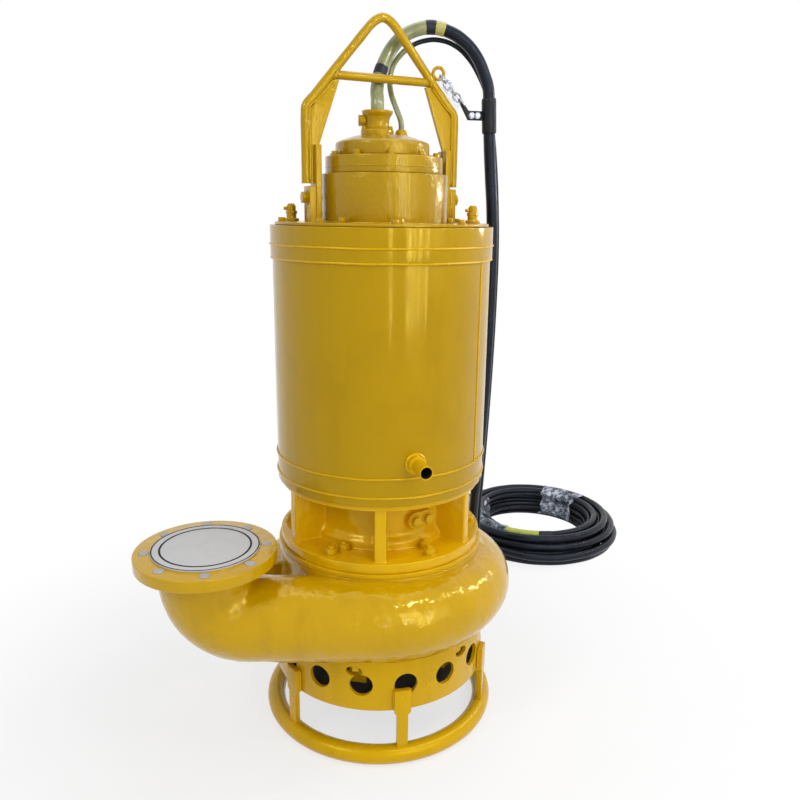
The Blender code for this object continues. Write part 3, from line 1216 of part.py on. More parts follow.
CLAMP_HEAD = (0.2225, 0.0690, 1.3850)
CLAMP_FOOT = (0.2265, 0.0740, 1.3150)
GLAND_TOP = cap_top() + GAP * 2 + GLAND_HEIGHT
SMALL_GLAND_TOP = cap_top() + GAP * 2 + SMALL_GLAND_HEIGHT
POWER_ROUTE = [
    (GLAND_X, 0, GLAND_TOP), (GLAND_X, 0, GLAND_TOP + CABLE_D / 2), (-0.0115, 0.0045, 1.374), (-0.0125, 0.0120, 1.392), (-0.0085, 0.0250, 1.419),
    (0.0010, 0.0360, 1.447), (0.0160, 0.0470, 1.476), (0.0370, 0.0540, 1.499), (0.0650, 0.0590, 1.514),
    (0.0970, 0.0610, 1.520), (0.1320, 0.0620, 1.513), (0.1660, 0.0625, 1.494), (0.1930, 0.0630, 1.465),
    (0.2110, 0.0640, 1.430), (0.2200, 0.0660, 1.405), CLAMP_HEAD, CLAMP_FOOT, (0.2330, 0.0830, 1.240),
    (0.2410, 0.0930, 1.160), (0.2460, 0.1000, 1.070), (0.2470, 0.1030, 0.960), (0.2460, 0.1080, 0.840),
    (0.2440, 0.1160, 0.720), (0.2410, 0.1340, 0.600), (0.2390, 0.1680, 0.490), (0.2390, 0.2080, 0.400),
    (0.2400, 0.2330, 0.320), (0.2420, 0.2560, 0.240), (0.2450, 0.2960, 0.150), (0.2480, 0.3600, 0.070),
    (0.2510, 0.4400, 0.0260), (0.2535, 0.5300, 0.0140), (0.2545, 0.6300, 0.0130), (0.2545, 0.7300, 0.0130),
    (0.2545, POWER_END_Y, 0.0130)]
CONTROL_ROUTE = [
    (SMALL_GLAND_X, SMALL_GLAND_Y, SMALL_GLAND_TOP), (SMALL_GLAND_X, SMALL_GLAND_Y, SMALL_GLAND_TOP + CONTROL_D),
    (0.0355, 0.0235, 1.337),
    (0.0270, 0.0300, 1.358), (0.0160, 0.0400, 1.388), (0.0130, 0.0490, 1.418), (0.0200, 0.0570, 1.446),
    (0.0360, 0.0660, 1.469), (0.0580, 0.0740, 1.487), (0.0850, 0.0790, 1.498), (0.1150, 0.0810, 1.500),
    (0.1500, 0.0830, 1.489), (0.1790, 0.0850, 1.465), (0.2010, 0.0885, 1.434), (0.2180, 0.0935, 1.400),
    (0.2300, 0.0985, 1.360), (0.2385, 0.1015, 1.310), (0.2470, 0.1050, 1.240), (0.2540, 0.1100, 1.160),
    (0.2590, 0.1170, 1.070), (0.2600, 0.1200, 0.960), (0.2590, 0.1250, 0.840), (0.2570, 0.1340, 0.720),
    (0.2550, 0.1520, 0.600), (0.2550, 0.1880, 0.490), (0.2560, 0.2290, 0.400), (0.2580, 0.2530, 0.320),
    (0.2600, 0.2760, 0.240), (0.2640, 0.3150, 0.150), (0.2680, 0.3780, 0.068), (0.2720, 0.4560, 0.0210),
    (0.2745, 0.5400, 0.0075), (0.2760, 0.6300, 0.0055), (0.2760, 0.7200, 0.0055), (0.2760, CONTROL_END_Y, 0.0055)]


def cable_points(route, spacing):
    """A straight start out of the gland, then an even spacing along the smooth rest of the route."""
    return [Vector(route[0])] + smooth_route(route[1:], spacing)


def make_cables():
    bar("power_cable", cable_points(POWER_ROUTE, POWER_STEP), CABLE_D, RUBBER, resolution=2,
        keep_curve=True)
    bar("control_cable", cable_points(CONTROL_ROUTE, CONTROL_STEP), CONTROL_D, RUBBER, resolution=2,
        keep_curve=True)
    middle = (COIL_INNER + COIL_OUTER) / 2
    half_width = (COIL_OUTER - COIL_INNER) / 2
    outline = []
    for i in range(12):
        turn = math.pi / 2 - math.tau * i / 12
        share = 0.62
        x = math.copysign(abs(math.cos(turn)) ** share, math.cos(turn)) * half_width
        z = math.copysign(abs(math.sin(turn)) ** share, math.sin(turn)) * COIL_HEIGHT / 2
        outline.append((middle + x, COIL_HEIGHT / 2 + z))
    turned("cable_coil", outline, RUBBER, MID_SIDES, True, place=(COIL_X, COIL_Y, 0))


make_foot_ring()
make_legs()
make_strainer()
make_casing()
make_outlet_cover()
make_suction_cover()
make_back_plate()
make_bracket()
make_shaft()
make_impeller()
make_agitator()
make_seal_ring()
make_bearing("lower", LOWER_BEARING_Z, SHAFT_BEARING / 2, BEARING_OD / 2, BEARING_WIDTH)
make_bearing("upper", UPPER_BEARING_Z, SHAFT_UPPER / 2, UPPER_BEARING_OD / 2, UPPER_BEARING_WIDTH)
make_motor()
make_nipple()
make_terminal_chamber()
make_glands()
make_bail()
make_cable_clamp()
make_chain(clamp_hole_place())
make_cables()
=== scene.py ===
"""Looks of a submersible slurry pump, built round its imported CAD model.

Metres, +Z up. Most places are written from the pump's own upright axis and moved to AXIS.
Angles round the axis are counted from the front (-Y), positive towards +X.
"""

import json
from math import atan2, copysign, cos, degrees, pi, radians, sin, sqrt, tau

import bmesh
import bpy
from mathutils import Euler, Matrix, Vector, noise


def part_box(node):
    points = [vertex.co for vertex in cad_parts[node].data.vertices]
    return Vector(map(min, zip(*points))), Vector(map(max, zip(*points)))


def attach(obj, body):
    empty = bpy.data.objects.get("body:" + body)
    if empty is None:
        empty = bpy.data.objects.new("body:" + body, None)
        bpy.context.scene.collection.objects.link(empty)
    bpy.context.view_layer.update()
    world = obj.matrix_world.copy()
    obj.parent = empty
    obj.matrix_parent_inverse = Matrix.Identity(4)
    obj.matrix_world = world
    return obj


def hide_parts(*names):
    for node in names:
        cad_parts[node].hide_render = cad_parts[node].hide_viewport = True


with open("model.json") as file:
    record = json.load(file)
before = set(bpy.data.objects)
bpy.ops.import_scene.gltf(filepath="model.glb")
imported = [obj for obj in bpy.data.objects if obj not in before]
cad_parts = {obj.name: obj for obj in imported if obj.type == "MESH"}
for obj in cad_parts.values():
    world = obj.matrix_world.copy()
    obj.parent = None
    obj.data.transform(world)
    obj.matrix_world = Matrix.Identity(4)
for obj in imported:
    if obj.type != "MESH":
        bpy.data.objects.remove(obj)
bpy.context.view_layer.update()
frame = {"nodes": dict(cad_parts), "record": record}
NODES = frame["nodes"]

# The pump's axis is the middle of the foot ring
RING_LOW, RING_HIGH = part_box("foot_ring")
AXIS = Vector(((RING_LOW.x + RING_HIGH.x) / 2, (RING_LOW.y + RING_HIGH.y) / 2, 0))
UP = Vector((0, 0, 1))

# Sides of turned shapes, the clearance between pieces, and what counts as nothing
ROUND = 96
HIDDEN = 48
PIPE = 24
GAP = 0.0003
TINY = 1e-6

# Camera, fitted to the photograph
CAMERA_PLACE = Vector((0.0428, -1.6240, 1.1500))
CAMERA_PITCH = radians(14.09)
CAMERA_ROLL = 0.0130
CAMERA_LENS = 33.71
CAMERA_SENSOR = 36

# Foot ring, strainer and legs
RING_RADIUS = 0.249
RING_BAR = 0.041
STRAINER_RADIUS = 0.244
STRAINER_INNER = 0.236
STRAINER_FOOT_Z = 0.123
STRAINER_TOP_Z = 0.2377
STRAINER_FLANGE = 0.012
STRAINER_FLANGE_INNER = 0.203
HOLE_COUNT = 16
HOLE_FIRST = radians(-7.4)
HOLE_D = 0.050
HOLE_Z = 0.183
NOTCH_COUNT = 6
NOTCH_FIRST = radians(-11)
NOTCH_HALF_WIDTH = 0.018
NOTCH_HALF_HEIGHT = 0.011
LUG = (0.038, 0.007, 0.060)
LUG_REACH = 0.2065
STRAINER_BOLT_REACH = 0.2265
LIP_RADIUS = 0.112
LEG_COUNT = 6
LEG_FIRST = radians(13)
LEG_WIDTH = 0.024
LEG_PAD = 0.036
LEG_PAD_Z = 0.121
LEG_PAD_HEIGHT = 0.055
LEG_SINK = 0.0065
LEG_THICKNESS = 0.012

# Casing and outlet
SEAT_Z = 0.238
SEAT = 0.012
PASSAGE_Z = 0.332
CASING_TOP_Z = 0.4205
DRUM_RADIUS = 0.226
RIM_RADIUS = 0.232
RIM = 0.016
SEAT_RADIUS = 0.240
SPIRAL_SWEEP = radians(285)
SPIRAL_GROWTH = 1.25
SPIRAL_STEPS = 60
THROAT_BORE = 0.150
TONGUE_BORE = 0.056
CASING_WALL = 0.012
NECK_WALL = 0.022
THROAT_PATH = 0.230
TONGUE_PATH = 0.240
CHAMBER_RADIUS = 0.176
CHAMBER_HEIGHT = 0.102
SLOT_RADIUS = 0.216
SLOT_HEIGHT = 0.052
TOP_OPENING = 0.190
SUCTION_OPENING = 0.180
CASING_LUGS = (-22, 31, 92, 148, 205)
CASING_LUG = (0.050, 0.020, 0.013)
OUTLET = Vector((-0.3455, -0.230, 0))
ELBOW_RADIUS = 0.099
ELBOW_SWELL = 0.06
ELBOW_STEPS = 18
FLANGE_RADIUS = 0.1425
FLANGE = 0.026
FLANGE_TOP_Z = 0.487
RAISED_FACE = 0.0015
RAISED_FACE_RADIUS = 0.1085
FLANGE_HOLES = 8
FLANGE_HOLE_FIRST = radians(13)
FLANGE_BOLT_RADIUS = 0.120
FLANGE_HOLE_RADIUS = 0.011
COVER_RADIUS = 0.108
COVER = 0.003
COVER_RINGS = (("outer", 0.1060, 0.0026), ("inner", 0.0900, 0.0042))
OVERRUN = 0.010

# Bracket and oil cover
BRACKET_FOOT_Z = 0.4311
BRACKET_TOP_Z = 0.5786
BRACKET_FLANGE = 0.021
BRACKET_HEAD = 0.012
BRACKET_FLANGE_RADIUS = 0.2265
BRACKET_HEAD_RADIUS = 0.222
BRACKET_RADIUS = 0.146
BRACKET_BORE = 0.118
RIB_COUNT = 6
RIB_FIRST = radians(1.8)
RIB_RADIUS = 0.217
RIB = 0.025
NUT_FIRST = radians(31.8)
NUT_ROWS = ((0.206, 0.0), (0.1735, 0.06))
OIL_ANGLE = radians(35)
OIL_Z = 0.513
OIL_HALF_HEIGHT = 0.018
OIL_HALF_LENGTH = 0.015
OIL_PLUG_REACH = 0.016

# Motor
JACKET_RADIUS = 0.230
JACKET_INNER = 0.224
JACKET_BORE = 0.200
JACKET_BOTTOM = 0.012
JACKET_FOOT_Z = 0.5789
JACKET_TOP_Z = 1.122
BAND_RADIUS = 0.234
BAND_FOOT_Z = 1.0575
BAND_WELD_Z = 1.084
SEAM_ANGLE = radians(61)
SEAM_FOOT_Z = 0.640
SEAM = 0.412
NIPPLE_ANGLE = radians(19)
NIPPLE_Z = 0.668
NIPPLE_WELD = 0.0190
COVER_TOP_Z = 1.1283
VENT_REACH = 0.190

# Terminal box and glands
DRUM_PLACE = Vector((0.005, 0, 0))
DRUM_TOP_Z = 1.2236
LID_PLACE = Vector((0.0035, 0, 0))
LID_FOOT_Z = 1.2239
LID_TOP_Z = 1.2579
GLAND_FOOT_Z = 1.2990
GLAND_PLACE = Vector((-0.011, 0, 0))
SMALL_GLAND_PLACE = Vector((0.038, 0.020, 0))

# Lifting bail
BAIL_TURN = radians(24)
BAIL_BAR = 0.018
BAIL_REACH = 0.1645
BAIL_BEND = 0.018
BAIL_KINK_Z = 1.350
BAIL_TOP_Z = 1.5235
BAIL_TOP_REACH = 0.0364
BAIL_TOP_DROP = 0.0266
BAIL_FOOT_Z = 1.203
CROSSBAR_Z = 1.410
CROSSBAR_RADIUS = 0.0085
CROSSBAR_WELD = 0.0095
WEB = 0.010
STRAP_INNER = 0.1375
STRAP = 0.012
STRAP_WIDTH = 0.040
STRAP_TOP_Z = 1.277
EAR = 0.014
BAIL_BOLT_Z = 1.176
BAIL_NUTS_Z = (1.146, 1.176)

# Chain, cables and their coil
LINK_COUNT = 5
LINK_BAR = 0.0045
EYE_BAR = 0.0070
CABLE_D = 0.025
CONTROL_D = 0.010
GLAND_TOP_Z = 1.3493
SMALL_GLAND_TOP_Z = 1.3153
CLAMP_HEAD = (0.2225, 0.0690, 1.3850)
CLAMP_FOOT = (0.2265, 0.0740, 1.3150)
COIL_CENTRE = Vector((0.540, 0.955, 0))
COIL_TURNS = (2.75, 2.75, 2.75, 2.0)
COIL_OUTER = 0.2890
COIL_PITCH = 0.0350
COIL_RISE = 0.0260
COIL_CLIMB = 0.25
COIL_STEPS = 16
COIL_FOOT = 0.0130
CONTROL_FOOT = 0.0060
CONTROL_INSET = 0.0176
TOP_TURN = slice(148, 162)
FILM_REACH = 0.2370
FILM_RISE = 0.0528
FILM_HALF_WIDTH = 0.0640
FILM_HALF_HEIGHT = 0.0528
FILM_ROUNDNESS = 0.55
FILM_STEPS = 60

POWER_ROUTE = [
    (-0.0110, 0.0000, GLAND_TOP_Z), (-0.0110, 0.0000, GLAND_TOP_Z + CABLE_D / 2),
    (-0.0115, 0.0045, 1.374), (-0.0125, 0.0120, 1.392), (-0.0085, 0.0250, 1.419), (0.0010, 0.0360, 1.447),
    (0.0160, 0.0470, 1.476), (0.0370, 0.0540, 1.499), (0.0650, 0.0590, 1.514), (0.0970, 0.0610, 1.520),
    (0.1320, 0.0620, 1.513), (0.1660, 0.0625, 1.494), (0.1930, 0.0630, 1.465), (0.2110, 0.0640, 1.430),
    (0.2200, 0.0660, 1.405), CLAMP_HEAD, CLAMP_FOOT, (0.2330, 0.0830, 1.240), (0.2410, 0.0930, 1.160),
    (0.2460, 0.1000, 1.070), (0.2470, 0.1030, 0.960), (0.2460, 0.1080, 0.840), (0.2440, 0.1160, 0.720),
    (0.2410, 0.1340, 0.600), (0.2390, 0.1680, 0.490), (0.2390, 0.2080, 0.400), (0.2400, 0.2330, 0.320),
    (0.2420, 0.2560, 0.240), (0.2450, 0.2960, 0.150), (0.2480, 0.3600, 0.070), (0.2510, 0.4400, 0.0260),
    (0.2535, 0.5300, 0.0140), (0.2545, 0.6300, 0.0130), (0.2545, 0.7300, 0.0130)]
CONTROL_ROUTE = [
    (0.0380, 0.0200, SMALL_GLAND_TOP_Z), (0.0380, 0.0200, SMALL_GLAND_TOP_Z + CONTROL_D),
    (0.0355, 0.0235, 1.337), (0.0270, 0.0300, 1.358), (0.0160, 0.0400, 1.388), (0.0130, 0.0490, 1.418),
    (0.0200, 0.0570, 1.446), (0.0360, 0.0660, 1.469), (0.0580, 0.0740, 1.487), (0.0850, 0.0790, 1.498),
    (0.1150, 0.0810, 1.500), (0.1500, 0.0830, 1.489), (0.1790, 0.0850, 1.465), (0.2010, 0.0885, 1.434),
    (0.2180, 0.0935, 1.400), (0.2300, 0.0985, 1.360), (0.2385, 0.1015, 1.310), (0.2470, 0.1050, 1.240),
    (0.2540, 0.1100, 1.160), (0.2590, 0.1170, 1.070), (0.2600, 0.1200, 0.960), (0.2590, 0.1250, 0.840),
    (0.2570, 0.1340, 0.720), (0.2550, 0.1520, 0.600), (0.2550, 0.1880, 0.490), (0.2560, 0.2290, 0.400),
    (0.2580, 0.2530, 0.320), (0.2600, 0.2760, 0.240), (0.2640, 0.3150, 0.150), (0.2680, 0.3780, 0.068),
    (0.2720, 0.4560, 0.0210), (0.2745, 0.5400, 0.0075), (0.2760, 0.6300, 0.0055), (0.2760, 0.7200, 0.0055)]
POWER_SLEEVED = POWER_ROUTE[:16]
CONTROL_SLEEVED = CONTROL_ROUTE[:14]


# Places and meshes

def added(name, data):
    obj = bpy.data.objects.new(name, data)
    bpy.context.scene.collection.objects.link(obj)
    return obj


def around(angle, reach, height=0.0):
    return Vector((reach * sin(angle), -reach * cos(angle), height))


def aside(angle):
    """The way along the pump's skin at an angle."""
    return Vector((cos(angle), sin(angle), 0))


def bail_point(along, height, across=0.0):
    """A place in the bail's own upright plane, or beside it."""
    c, s = cos(BAIL_TURN), sin(BAIL_TURN)
    return Vector((along * c - across * s, along * s + across * c, height))


def spread(count, first=0.0):
    """Even angles round a full turn."""
    return [first + tau * i / count for i in range(count)]


def ripple(scale, *place):
    """Smooth noise of about the given size."""
    return scale * noise.noise(Vector(place))


def smooth(mesh, angle=38):
    mesh.shade_smooth()
    mesh.set_sharp_from_angle(angle=radians(angle))
    return mesh


def shell(verts, faces, angle=38, matrix=None):
    mesh = bpy.data.meshes.new("shell")
    mesh.from_pydata(verts, [], faces)
    if matrix:
        mesh.transform(matrix)
    bm = bmesh.new()
    bm.from_mesh(mesh)
    bmesh.ops.recalc_face_normals(bm, faces=bm.faces)
    bm.to_mesh(mesh)
    bm.free()
    return smooth(mesh, angle)


def walls(rows, size):
    """Faces between rows of points, each row a loop."""
    return [(i * size + k, i * size + (k + 1) % size, (i + 1) * size + (k + 1) % size, (i + 1) * size + k)
            for i in range(rows - 1) for k in range(size)]


def ends(rows, size):
    return [tuple(range(size))[::-1], tuple(range((rows - 1) * size, rows * size))]


def loft(sections, capped=True):
    """A skin through loops of points, closed at both ends or open like a film."""
    count, size = len(sections), len(sections[0])
    verts = [point + AXIS for section in sections for point in section]
    if capped:
        return shell(verts, walls(count, size) + ends(count, size))
    return shell(verts, walls(count, size), 60)


def merged(meshes):
    """Several meshes as one. The shells stay apart."""
    bm = bmesh.new()
    for mesh in meshes:
        bm.from_mesh(mesh)
    mesh = bpy.data.meshes.new("merged")
    bm.to_mesh(mesh)
    bm.free()
    return smooth(mesh)


def evaluated(obj):
    """The mesh of an object with its modifiers applied. The object goes."""
    bpy.context.view_layer.update()
    mesh = bpy.data.meshes.new_from_object(obj.evaluated_get(bpy.context.evaluated_depsgraph_get()))
    bpy.data.objects.remove(obj, do_unlink=True)
    return mesh


def uneven(mesh, lift):
    """Moves each point along its normal by what the function gives for its place."""
    places = [vertex.co.copy() for vertex in mesh.vertices]
    ways = [normal.vector.copy() for normal in mesh.vertex_normals]
    moved = [value for place, way in zip(places, ways) for value in place + way * lift(place)]
    mesh.vertices.foreach_set("co", moved)
    mesh.update()
    return mesh


def cast(meshes, grain, passes, rough=0.0):
    """Closed shells fused into one casting, its inner corners filled and its skin a little uneven."""
    obj = added("casting", merged(meshes))
    fuse = obj.modifiers.new("fuse", "REMESH")
    fuse.mode = "VOXEL"
    fuse.voxel_size = grain
    soften = obj.modifiers.new("soften", "SMOOTH")
    soften.factor = 0.5
    soften.iterations = passes
    return uneven(evaluated(obj), lambda place: (noise.noise(place * 22) + noise.noise(place * 70) * 0.35) * rough)


def carved(mesh, *cutters):
    """A mesh less one cutter after another. The shells of one cutter stay clear of each other."""
    obj = added("carved", mesh)
    tools = [added("cutter", cutter) for cutter in cutters]
    for tool in tools:
        step = obj.modifiers.new("carve", "BOOLEAN")
        step.operation = "DIFFERENCE"
        step.object = tool
        step.solver = "MANIFOLD"
    made = evaluated(obj)
    for tool in tools:
        bpy.data.objects.remove(tool, do_unlink=True)
    return made


# Turned, swept and flat shapes

def rounded(outline, radius, closed, steps=3):
    """Rounds the corners of an outline. Points on the axis stay."""
    made = []
    count = len(outline)
    for i, point in enumerate(outline):
        here = Vector(point)
        before = Vector(outline[i - 1]) - here
        after = Vector(outline[(i + 1) % count]) - here
        end = not closed and i in (0, count - 1)
        if end or min(here.x, before.length, after.length) < TINY:
            made.append(tuple(here))
            continue
        reach = min(radius, before.length * 0.45, after.length * 0.45)
        a = here + before.normalized() * reach
        b = here + after.normalized() * reach
        for k in range(steps + 1):
            t = k / steps
            made.append(tuple(a * (1 - t) ** 2 + here * 2 * t * (1 - t) + b * t ** 2))
    return made


def lathe(outline, place=(0, 0, 0), sides=ROUND, edge=0.0015, way=None, sway=None):
    """Turns an outline of (radius, height) points about Z, or about a way. One that starts off the axis is a ring."""
    closed = outline[0][0] > TINY
    verts, rows = [], []
    for r, z in rounded(outline, edge, closed) if edge else outline:
        if r < TINY:
            rows.append([len(verts)])
            verts.append((0, 0, z))
            continue
        rows.append(range(len(verts), len(verts) + sides))
        for turn in spread(sides):
            reach = r + (sway(turn, z) if sway else 0)
            verts.append((reach * cos(turn), reach * sin(turn), z))
    pairs = list(zip(rows, rows[1:]))
    if closed:
        pairs.append((rows[-1], rows[0]))
    faces = []
    for a, b in pairs:
        for i in range(sides):
            j = (i + 1) % sides
            if len(a) == 1 and len(b) == 1:
                break
            if len(a) == 1:
                faces.append((a[0], b[j], b[i]))
            elif len(b) == 1:
                faces.append((a[i], a[j], b[0]))
            else:
                faces.append((a[i], a[j], b[j], b[i]))
    turned = Vector(way).to_track_quat("Z", "Y").to_matrix().to_4x4() if way else Matrix.Identity(4)
    return shell(verts, faces, 38, Matrix.Translation(Vector(place) + AXIS) @ turned)


def cylinder(radius, foot, top, place=(0, 0, 0), sides=HIDDEN, way=None, edge=0.0):
    return lathe([(0, top), (radius, top), (radius, foot), (0, foot)], place, sides, edge, way)


def hoop(outer, inner, foot, top, place=(0, 0, 0), edge=0.002, sides=ROUND, sway=None):
    return lathe([(outer, top), (outer, foot), (inner, foot), (inner, top)], place, sides, edge, None, sway)


def sweep(line, radius, sides=16, closed=False):
    """A round bar along points. The radius is one length or a function of the share of the way along."""
    count = len(line)
    verts = []
    normal = None
    for i, here in enumerate(line):
        before = line[i - 1] if closed or i else here
        after = line[(i + 1) % count] if closed or i < count - 1 else here
        way = (after - before).normalized()
        if normal is None:
            normal = way.orthogonal().normalized()
        normal = (normal - way * normal.dot(way)).normalized()
        side = way.cross(normal)
        r = radius(i / max(count - 1, 1)) if callable(radius) else radius
        verts += [here + AXIS + (normal * cos(turn) + side * sin(turn)) * r for turn in spread(sides)]
    faces = walls(count, sides)
    if closed:
        last = (count - 1) * sides
        shift = min(range(sides), key=lambda k: (verts[k] - verts[last]).length)
        faces += [(last + k, last + (k + 1) % sides, (k + 1 + shift) % sides, (k + shift) % sides)
                  for k in range(sides)]
    else:
        faces += ends(count, sides)
    return shell(verts, faces, 50)


def slab(outline, thickness, place, turn=(0, 0, 0), edge=0.001):
    """A flat outline as a plate, centred on its plane, with bevelled edges. The turn is three angles or a matrix."""
    bm = bmesh.new()
    face = bm.faces.new([bm.verts.new((x, y, -thickness / 2)) for x, y in outline])
    made = bmesh.ops.extrude_face_region(bm, geom=[face])
    moved = [v for v in made["geom"] if isinstance(v, bmesh.types.BMVert)]
    bmesh.ops.translate(bm, vec=(0, 0, thickness), verts=moved)
    bmesh.ops.recalc_face_normals(bm, faces=bm.faces)
    if edge:
        sharp = [e for e in bm.edges if len(e.link_faces) == 2 and e.calc_face_angle() > radians(30)]
        bmesh.ops.bevel(bm, geom=sharp, offset=edge, segments=2, profile=0.6, affect="EDGES", clamp_overlap=True)
    mesh = bpy.data.meshes.new("slab")
    bm.to_mesh(mesh)
    bm.free()
    turned = turn if isinstance(turn, Matrix) else Euler(turn).to_matrix().to_4x4()
    mesh.transform(Matrix.Translation(Vector(place) + AXIS) @ turned)
    return smooth(mesh)


def block(size, place, turn=0.0, edge=0.001):
    x, y, z = (length / 2 for length in size)
    return slab([(-x, -y), (x, -y), (x, y), (-x, y)], 2 * z, place, (0, 0, turn), edge)


def hexagon(across):
    reach = across / sqrt(3)
    return [(reach * cos(turn), reach * sin(turn)) for turn in spread(6)]


def bolt(place, way, across, height, washer=True, stud=0.0):
    """A hexagon head or nut on a washer, standing on a point and looking along a way."""
    way = Vector(way).normalized()
    turn = way.to_track_quat("Z", "Y").to_matrix().to_4x4()
    place = Vector(place)
    rise = height * 0.2 if washer else 0.0
    top = place + way * (rise + height)
    parts = [cylinder(across * 0.68, 0, rise, place, PIPE, way, 0.0008)] if washer else []
    parts.append(slab(hexagon(across), height, place + way * (rise + height / 2), turn, across * 0.06))
    dome = [(0, height * 0.06), (across * 0.42, height * 0.06), (across * 0.47, 0), (0, 0)]
    parts.append(lathe(dome, top, PIPE, 0.0004, way))
    if stud:
        thread = [(0, stud), (across * 0.27, stud), (across * 0.31, stud - across * 0.05), (across * 0.31, 0), (0, 0)]
        parts.append(lathe(thread, top, PIPE, 0, way))
    return merged(parts)


def curve_through(points, spacing):
    """Even points along a smooth curve through the given ones."""
    knots = [Vector(p) for p in points]
    padded = [knots[0] * 2 - knots[1]] + knots + [knots[-1] * 2 - knots[-2]]
    fine = []
    for before, start, end, after in zip(padded, padded[1:], padded[2:], padded[3:]):
        for i in range(24):
            t = i / 24
            fine.append(0.5 * (start * 2 + (end - before) * t + (before * 2 - start * 5 + end * 4 - after) * t ** 2
                               + (start * 3 - before - end * 3 + after) * t ** 3))
    fine.append(knots[-1])
    lengths = [0.0]
    for a, b in zip(fine, fine[1:]):
        lengths.append(lengths[-1] + (b - a).length)
    count = max(2, round(lengths[-1] / spacing))
    made = []
    index = 0
    for i in range(count + 1):
        target = lengths[-1] * i / count
        while index < len(lengths) - 2 and lengths[index + 1] < target:
            index += 1
        share = (target - lengths[index]) / max(lengths[index + 1] - lengths[index], 1e-9)
        made.append(fine[index].lerp(fine[index + 1], min(share, 1.0)))
    return made


def weld(points, radius, seed, closed=False):
    """A weld bead: overlapping ripples along a line, no two quite alike."""
    spacing = 0.42
    line = points if closed else curve_through(points, radius * spacing)
    count = len(line)

    def size(share):
        step = share * count * spacing / 1.9
        return radius * (1 + 0.16 * abs(sin(step * pi)) + ripple(0.14, share * count * 0.09, seed, 3.1))
    return sweep(line, size, 8, closed)


def ring_weld(radius, height, bead, seed):
    """A weld bead all round the axis."""
    count = 900
    line = [around(angle, radius, height + ripple(bead * 0.5, cos(angle) * 4, sin(angle) * 4, seed))
            for angle in spread(count)]

    def size(share):
        step = share * count / 4.5
        return bead * (0.86 + 0.20 * abs(sin(step * pi)) + ripple(0.16, share * count / 9, seed, 0))
    return sweep(line, size, 8, True)


# Materials

def feed(tree, socket, value):
    """Links another node's output to a socket, or sets it to a colour or a number."""
    if isinstance(value, bpy.types.NodeSocket):
        tree.links.new(value, socket)
    elif value is not None:
        socket.default_value = (*value, 1) if isinstance(value, tuple) else value


def node(tree, kind, inputs, output=0, **values):
    """Adds a node, feeds its inputs and gives one of its outputs."""
    made = tree.nodes.new("ShaderNode" + kind)
    for key, value in values.items():
        setattr(made, key, value)
    for key, value in inputs.items():
        feed(tree, made.inputs[key], value)
    return made.outputs[output]


class Paper:
    """A material's node tree, with short calls for the nodes used here."""

    SOCKETS = {"colour": "Base Color", "roughness": "Roughness", "metallic": "Metallic", "coat": "Coat Weight",
               "coat_roughness": "Coat Roughness", "specular": "Specular IOR Level", "alpha": "Alpha",
               "tint": "Specular Tint", "normal": "Normal"}

    def __init__(self, name):
        self.material = bpy.data.materials.new(name)
        self.material.use_nodes = True
        self.tree = self.material.node_tree
        self.shader = self.tree.nodes["Principled BSDF"]
        self.place = node(self.tree, "TexCoord", {}, "Object")

    def stretched(self, *scale):
        return node(self.tree, "Mapping", {"Scale": list(scale), "Vector": self.place}, "Vector")

    def noise(self, scale, detail=3.0, roughness=0.5, vector=None):
        inputs = {"Scale": scale, "Detail": detail, "Roughness": roughness, "Vector": vector or self.place}
        return node(self.tree, "TexNoise", inputs, "Fac")

    def cells(self, scale):
        return node(self.tree, "TexVoronoi", {"Scale": scale, "Vector": self.place}, "Distance")

    def ramp(self, factor, stops):
        """Grey levels or colours by a factor, the first and the last stop before those between."""
        made = self.tree.nodes.new("ShaderNodeValToRGB")
        line = made.color_ramp.elements
        line[0].position, line[1].position = stops[0][0], stops[-1][0]
        for i, (place, value) in enumerate((stops[0], stops[-1], *stops[1:-1])):
            step = line[i] if i < 2 else line.new(place)
            step.color = (*value, 1) if isinstance(value, tuple) else (value, value, value, 1)
        feed(self.tree, made.inputs["Fac"], factor)
        return made.outputs["Color"]

    def mix(self, factor, a, b):
        return node(self.tree, "Mix", {0: factor, 6: a, 7: b}, 2, data_type="RGBA")

    def set(self, **values):
        for key, value in values.items():
            feed(self.tree, self.shader.inputs[self.SOCKETS[key]], value)

    def finished(self, *layers):
        """The material, with a stack of bumps, each a (height, distance, strength)."""
        normal = None
        for height, distance, strength in layers:
            inputs = {"Distance": distance, "Strength": strength, "Height": height, "Normal": normal}
            normal = node(self.tree, "Bump", inputs, "Normal")
        self.set(normal=normal)
        return self.material


YELLOW_BRIGHT = (0.625, 0.358, 0.001)
YELLOW_MID = (0.540, 0.305, 0.001)
YELLOW_DEEP = (0.370, 0.196, 0.001)
YELLOW_GLOSS = (1.0, 0.76, 0.12)
SPECK = (0.16, 0.09, 0.01)


